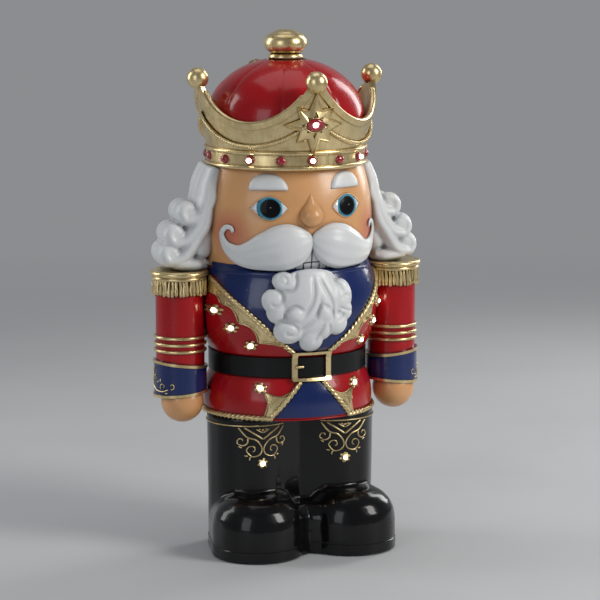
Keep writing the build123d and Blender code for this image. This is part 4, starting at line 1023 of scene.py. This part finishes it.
def cuff_vines():
    """Gold vine on the outer face of each cuff."""
    low = corner("cuff_left", 0, 2) + 2
    for side, name in SIDES:
        at = RoundSkin(["cuff_" + name], (side * arm_x, arm_y), cuff_radius, side * 62, low)
        piece("cuff_vine_" + name, vine(at, -side), "gold_paint")


# ---- boots
leg_x, leg_y, leg_radius = 51.0, -15.5, 49.5
toe_x, toe_y, toe_radius = 58.0, -66.0, 53.5
toe_spring, toe_height = 16.0, 56.0
boot_line_rise = 139.0


def hull_ring(circles, grow, count=96):
    """Outline wrapped tightly round some circles (x, y, radius)."""
    points = []
    for angle in np.linspace(0, 2 * math.pi, count, endpoint=False):
        way = (math.cos(angle), math.sin(angle))
        x, y, radius = max(circles, key=lambda c: c[0] * way[0] + c[1] * way[1] + c[2])
        points.append((x + (radius + grow) * way[0], y + (radius + grow) * way[1]))
    return points


def stacked(levels):
    """Closed solid through level outlines (z, points) that all have as many points."""
    count = len(levels[0][1])
    verts = [(x, y, z) for z, points in levels for x, y in points]
    faces = grid_faces(len(levels), count)
    for z, points, first in ((*levels[0], 0), (*levels[-1], (len(levels) - 1) * count)):
        centre = np.mean(points, axis=0)
        verts.append((centre[0], centre[1], z))
        faces += fan(first, count, len(verts) - 1)
    return verts, faces


def foot_circles(side):
    """The boot's plan: its shaft and its toe."""
    return [(side * leg_x, leg_y, leg_radius), (side * toe_x, toe_y, toe_radius)]


def crease(front, half, back, depth):
    """Plan of the filling between the boots, with a shallow fold down its front."""
    return [(-half, front), (0, front + depth), (half, front), (half, back), (-half, back)]


def domed(centre, radius, spring, height):
    """Upright round block under a rounded top, standing on the sole."""
    profile = [(0.01, boots_z - 4), (radius, boots_z - 4), (radius, boots_z + spring)]
    profile += arc(0, boots_z + spring, radius, height - spring, 0.1, math.pi / 2 - 0.01, 18)
    return lathe(profile, centre)


def boots():
    """Both boots cast as one: shafts, domed toes and the folds between them."""
    shapes = []
    foot, top = boots_z - 4, corner("boots", 1, 2)
    for side in (-1, 1):
        shaft = [(0.01, foot), (leg_radius, foot), (leg_radius, boots_z + 46),
                 (leg_radius + 1.2, top), (0.01, top)]
        levels = [(-4, 0), (22, 0), (34, -2), (44, -7), (52, -15), (58, -26)]
        shapes += [lathe(shaft, (side * leg_x, leg_y)),
                   domed((side * toe_x, toe_y), toe_radius, toe_spring, toe_height),
                   domed((side * (leg_x + 2), leg_y - 20), leg_radius - 4, 30, 63),
                   stacked([(boots_z + rise, hull_ring(foot_circles(side), grow))
                            for rise, grow in levels])]
    shapes.append(stacked([(z, crease(-59, 25, 26, 8)) for z in (foot, top)]))
    shapes.append(stacked([(foot, crease(-100, 22, 0, 13)), (boots_z + 30, crease(-98, 22, 0, 13)),
                           (boots_z + 44, crease(-84, 20, 0, 11))]))
    return fused("boots_cast", shapes, 2.0, 12, "black_paint", ["boots"])


def soles():
    """Flat soles with a slightly rounded welt, filled between the boots."""
    shapes = []
    bottom, top = corner("soles", 0, 2), corner("soles", 1, 2)
    levels = [(bottom, -0.6), (bottom + 1, 0.5), (top - 0.9, 0.5), (top - 0.2, -0.2), (top, -1.5)]
    for side in (-1, 1):
        shapes.append(stacked([(z, hull_ring(foot_circles(side), grow)) for z, grow in levels]))
    shapes.append(stacked([(z, crease(-100, 22, 20, 13)) for z in (bottom, top)]))
    piece("soles_cast", shapes, "black_paint", ["soles"], smooth=False)


def boot_line(cast):
    """Thin gold line round the top of each boot."""
    shapes = []
    for side in (-1, 1):
        at = RoundSkin([cast], (side * leg_x, leg_y), leg_radius, 0, boots_z)
        line = [(side * a * leg_radius, boot_line_rise) for a in np.radians(np.arange(-34, 200, 4))]
        shapes.append(bead_line(at, line, 0.9, 2.0, 0.4))
    piece("boot_line", shapes, "gold_paint", ["boot_piping"])


def boot_scrolls(cast):
    """Gold scrollwork that hangs from the line round the boots down to each light."""
    boot_skin = FrontSkin([cast])
    main_lines, tapered = 3, 2  # how many of the lines are the thick ones, and end in a curl
    half = [
        [(-27.8, 43.3), (-18.9, 32.3), (-8, 28), (-1.3, 18.7), (-3.6, 11), (-12.6, 8.5), (-18.9, 15.3),
         (-16, 20.4), (-10.8, 20.4), (-9.5, 16), (-12.5, 14.4)],
        [(-17.5, 30.7), (-18.3, 24.6), (-23.3, 21.7), (-28.7, 24.6), (-27.5, 29.2), (-23.9, 29.7),
         (-22.8, 26.8)],
        [(-21.5, 43.3), (-11, 36.5), (0, 28.9)],
        [(-13.5, 8.9), (-15.6, 6.2), (-15.3, 3.4)],
        [(-8, 41.2), (-4, 38.6), (0, 36.8)],
    ]
    shapes = []
    base = BOOT_LED[1]
    for side in (-1, 1):
        middle = side * BOOT_LED[0]
        for flip in (-1, 1):
            for number, line in enumerate(half):
                points = [(middle + flip * x, base + z) for x, z in line]
                radius = 1.1 if number < main_lines else 0.9
                shapes.append(bead_line(boot_skin, points, radius, 0.9, taper=number < tapered))
            for x, z, tilt in ((-19.5, 9.3, 0.15), (-26, 20, 0.6), (-4.6, 40.6, -0.5)):
                leaf = (middle + flip * x, base + z)
                shapes.append(stud(boot_skin, leaf, 2.3, 1.0, 1.0, 10, -flip * tilt, rings=3))
        shapes.append(stud(boot_skin, (middle, base + 40), 2.0, 1.5, 1.2, 10, rings=3))
    piece("boot_scrolls", shapes, "gold_paint")


# ---- stage
AIM = (0, 0, 0.33)
LIGHTS = [  # name, place and size in metres, power, colour
    ("key", (1.5, -1.5, 1.45), (0.8, 1.3), 32, (1.0, 0.98, 0.95)),
    ("fill", (-1.7, -1.5, 0.9), (0.9, 1.5), 8, (0.92, 0.96, 1.0)),
    ("rim_left", (-1.5, 0.9, 1.0), (0.5, 1.4), 9, (1, 1, 1)),
    ("rim_right", (1.6, 0.8, 1.1), (0.5, 1.4), 13, (1, 1, 1)),
    ("top", (0, 0.2, 2.1), (1.2, 1.2), 4, (1, 1, 1))]
CAMERA_PLACE = (-1.0296, -2.9701, 0.7933)
CAMERA_TURN = (80.895, 0, -19.43)
CAMERA_LENS = 160.4


def area_light(name, place, size, power, colour):
    """A rectangular lamp turned towards the figure."""
    data = bpy.data.lights.new(name, "AREA")
    data.shape = "RECTANGLE"
    data.size, data.size_y = size
    data.energy = power
    data.color = colour
    light = bpy.data.objects.new(name, data)
    light.location = place
    light.rotation_euler = (Vector(AIM) - Vector(place)).to_track_quat("-Z", "Y").to_euler()
    bpy.context.scene.collection.objects.link(light)


def even_far_off(paint):
    """Keep the floor's light and shadow near the figure, and one even tone far behind it."""
    seen = paint.node("LightPath", {}, "Is Camera Ray")
    for kind in ("Is Glossy Ray", "Is Transmission Ray"):
        seen = paint.maths("MAXIMUM", seen, paint.node("LightPath", {}, kind))
    near_reach, far_reach = 0.7, 2.6
    far = paint.spread(paint.distance((0, 0, 0)), near_reach, far_reach, way="SMOOTHSTEP")
    glow = paint.node("Emission", {"Color": (0.26, 0.265, 0.275, 1)})
    both = paint.node("MixShader", {0: paint.maths("MULTIPLY", seen, far),
                                    1: paint.shader.outputs[0], 2: glow})
    paint.links.new(both, paint.nodes["Material Output"].inputs["Surface"])


def stage():
    """Pale seamless floor, soft studio light, and the camera."""
    paint = Paint("pale_floor", Roughness=0.6)
    cloud = paint.spread(paint.noise(3), 0.3, 0.7)
    paint.colour(paint.mix(cloud, (0.60, 0.61, 0.62), (0.56, 0.57, 0.58)))
    even_far_off(paint)
    back, cove = 3800, 1200
    depth = [(-8000, 0), (back, 0)]
    depth += arc(back, cove, cove, cove, 0.1 - math.pi / 2, 0, 14)
    depth += [(back + cove, 5000)]
    verts = [(x, y, z) for y, z in depth for x in (-9000, 0, 9000)]
    floor = mesh_object("floor", [(verts, grid_faces(len(depth), 3, False))], paint.material)

    scene = bpy.context.scene
    scene.world = bpy.data.worlds.new("studio")
    scene.world.use_nodes = True
    background = scene.world.node_tree.nodes["Background"].inputs
    background["Color"].default_value = (0.82, 0.86, 0.92, 1)
    background["Strength"].default_value = 0.18
    for light in LIGHTS:
        area_light(*light)

    camera = bpy.data.objects.new("camera", bpy.data.cameras.new("camera"))
    camera.location = CAMERA_PLACE
    camera.rotation_euler = [math.radians(turn) for turn in CAMERA_TURN]
    camera.data.sensor_width = 36.0
    camera.data.lens = CAMERA_LENS
    scene.collection.objects.link(camera)
    scene.camera = camera
    scene.view_settings.view_transform = "Standard"


# ---- assembly
for entry in frame["record"]["subparts"]:
    node = frame["nodes"][entry["node"]]
    node.data.materials.clear()
    node.data.materials.append(FINISH[entry["material_slot"]])

moustache()
beard()
brows()
for side, name in SIDES:
    side_hair(side, name)
back_hair()
eyes()
nose()
teeth_lines()
crown_edges()
crown_star()
crown_gems()
padded_cap()
coat_ropes()
lace()
flap_edge()
collar_band()
buckle_pin()
epaulettes()
cuff_vines()
boots_cast = boots()
soles()
boot_line(boots_cast)
boot_scrolls(boots_cast)
light_flowers(boots_cast)
stage()
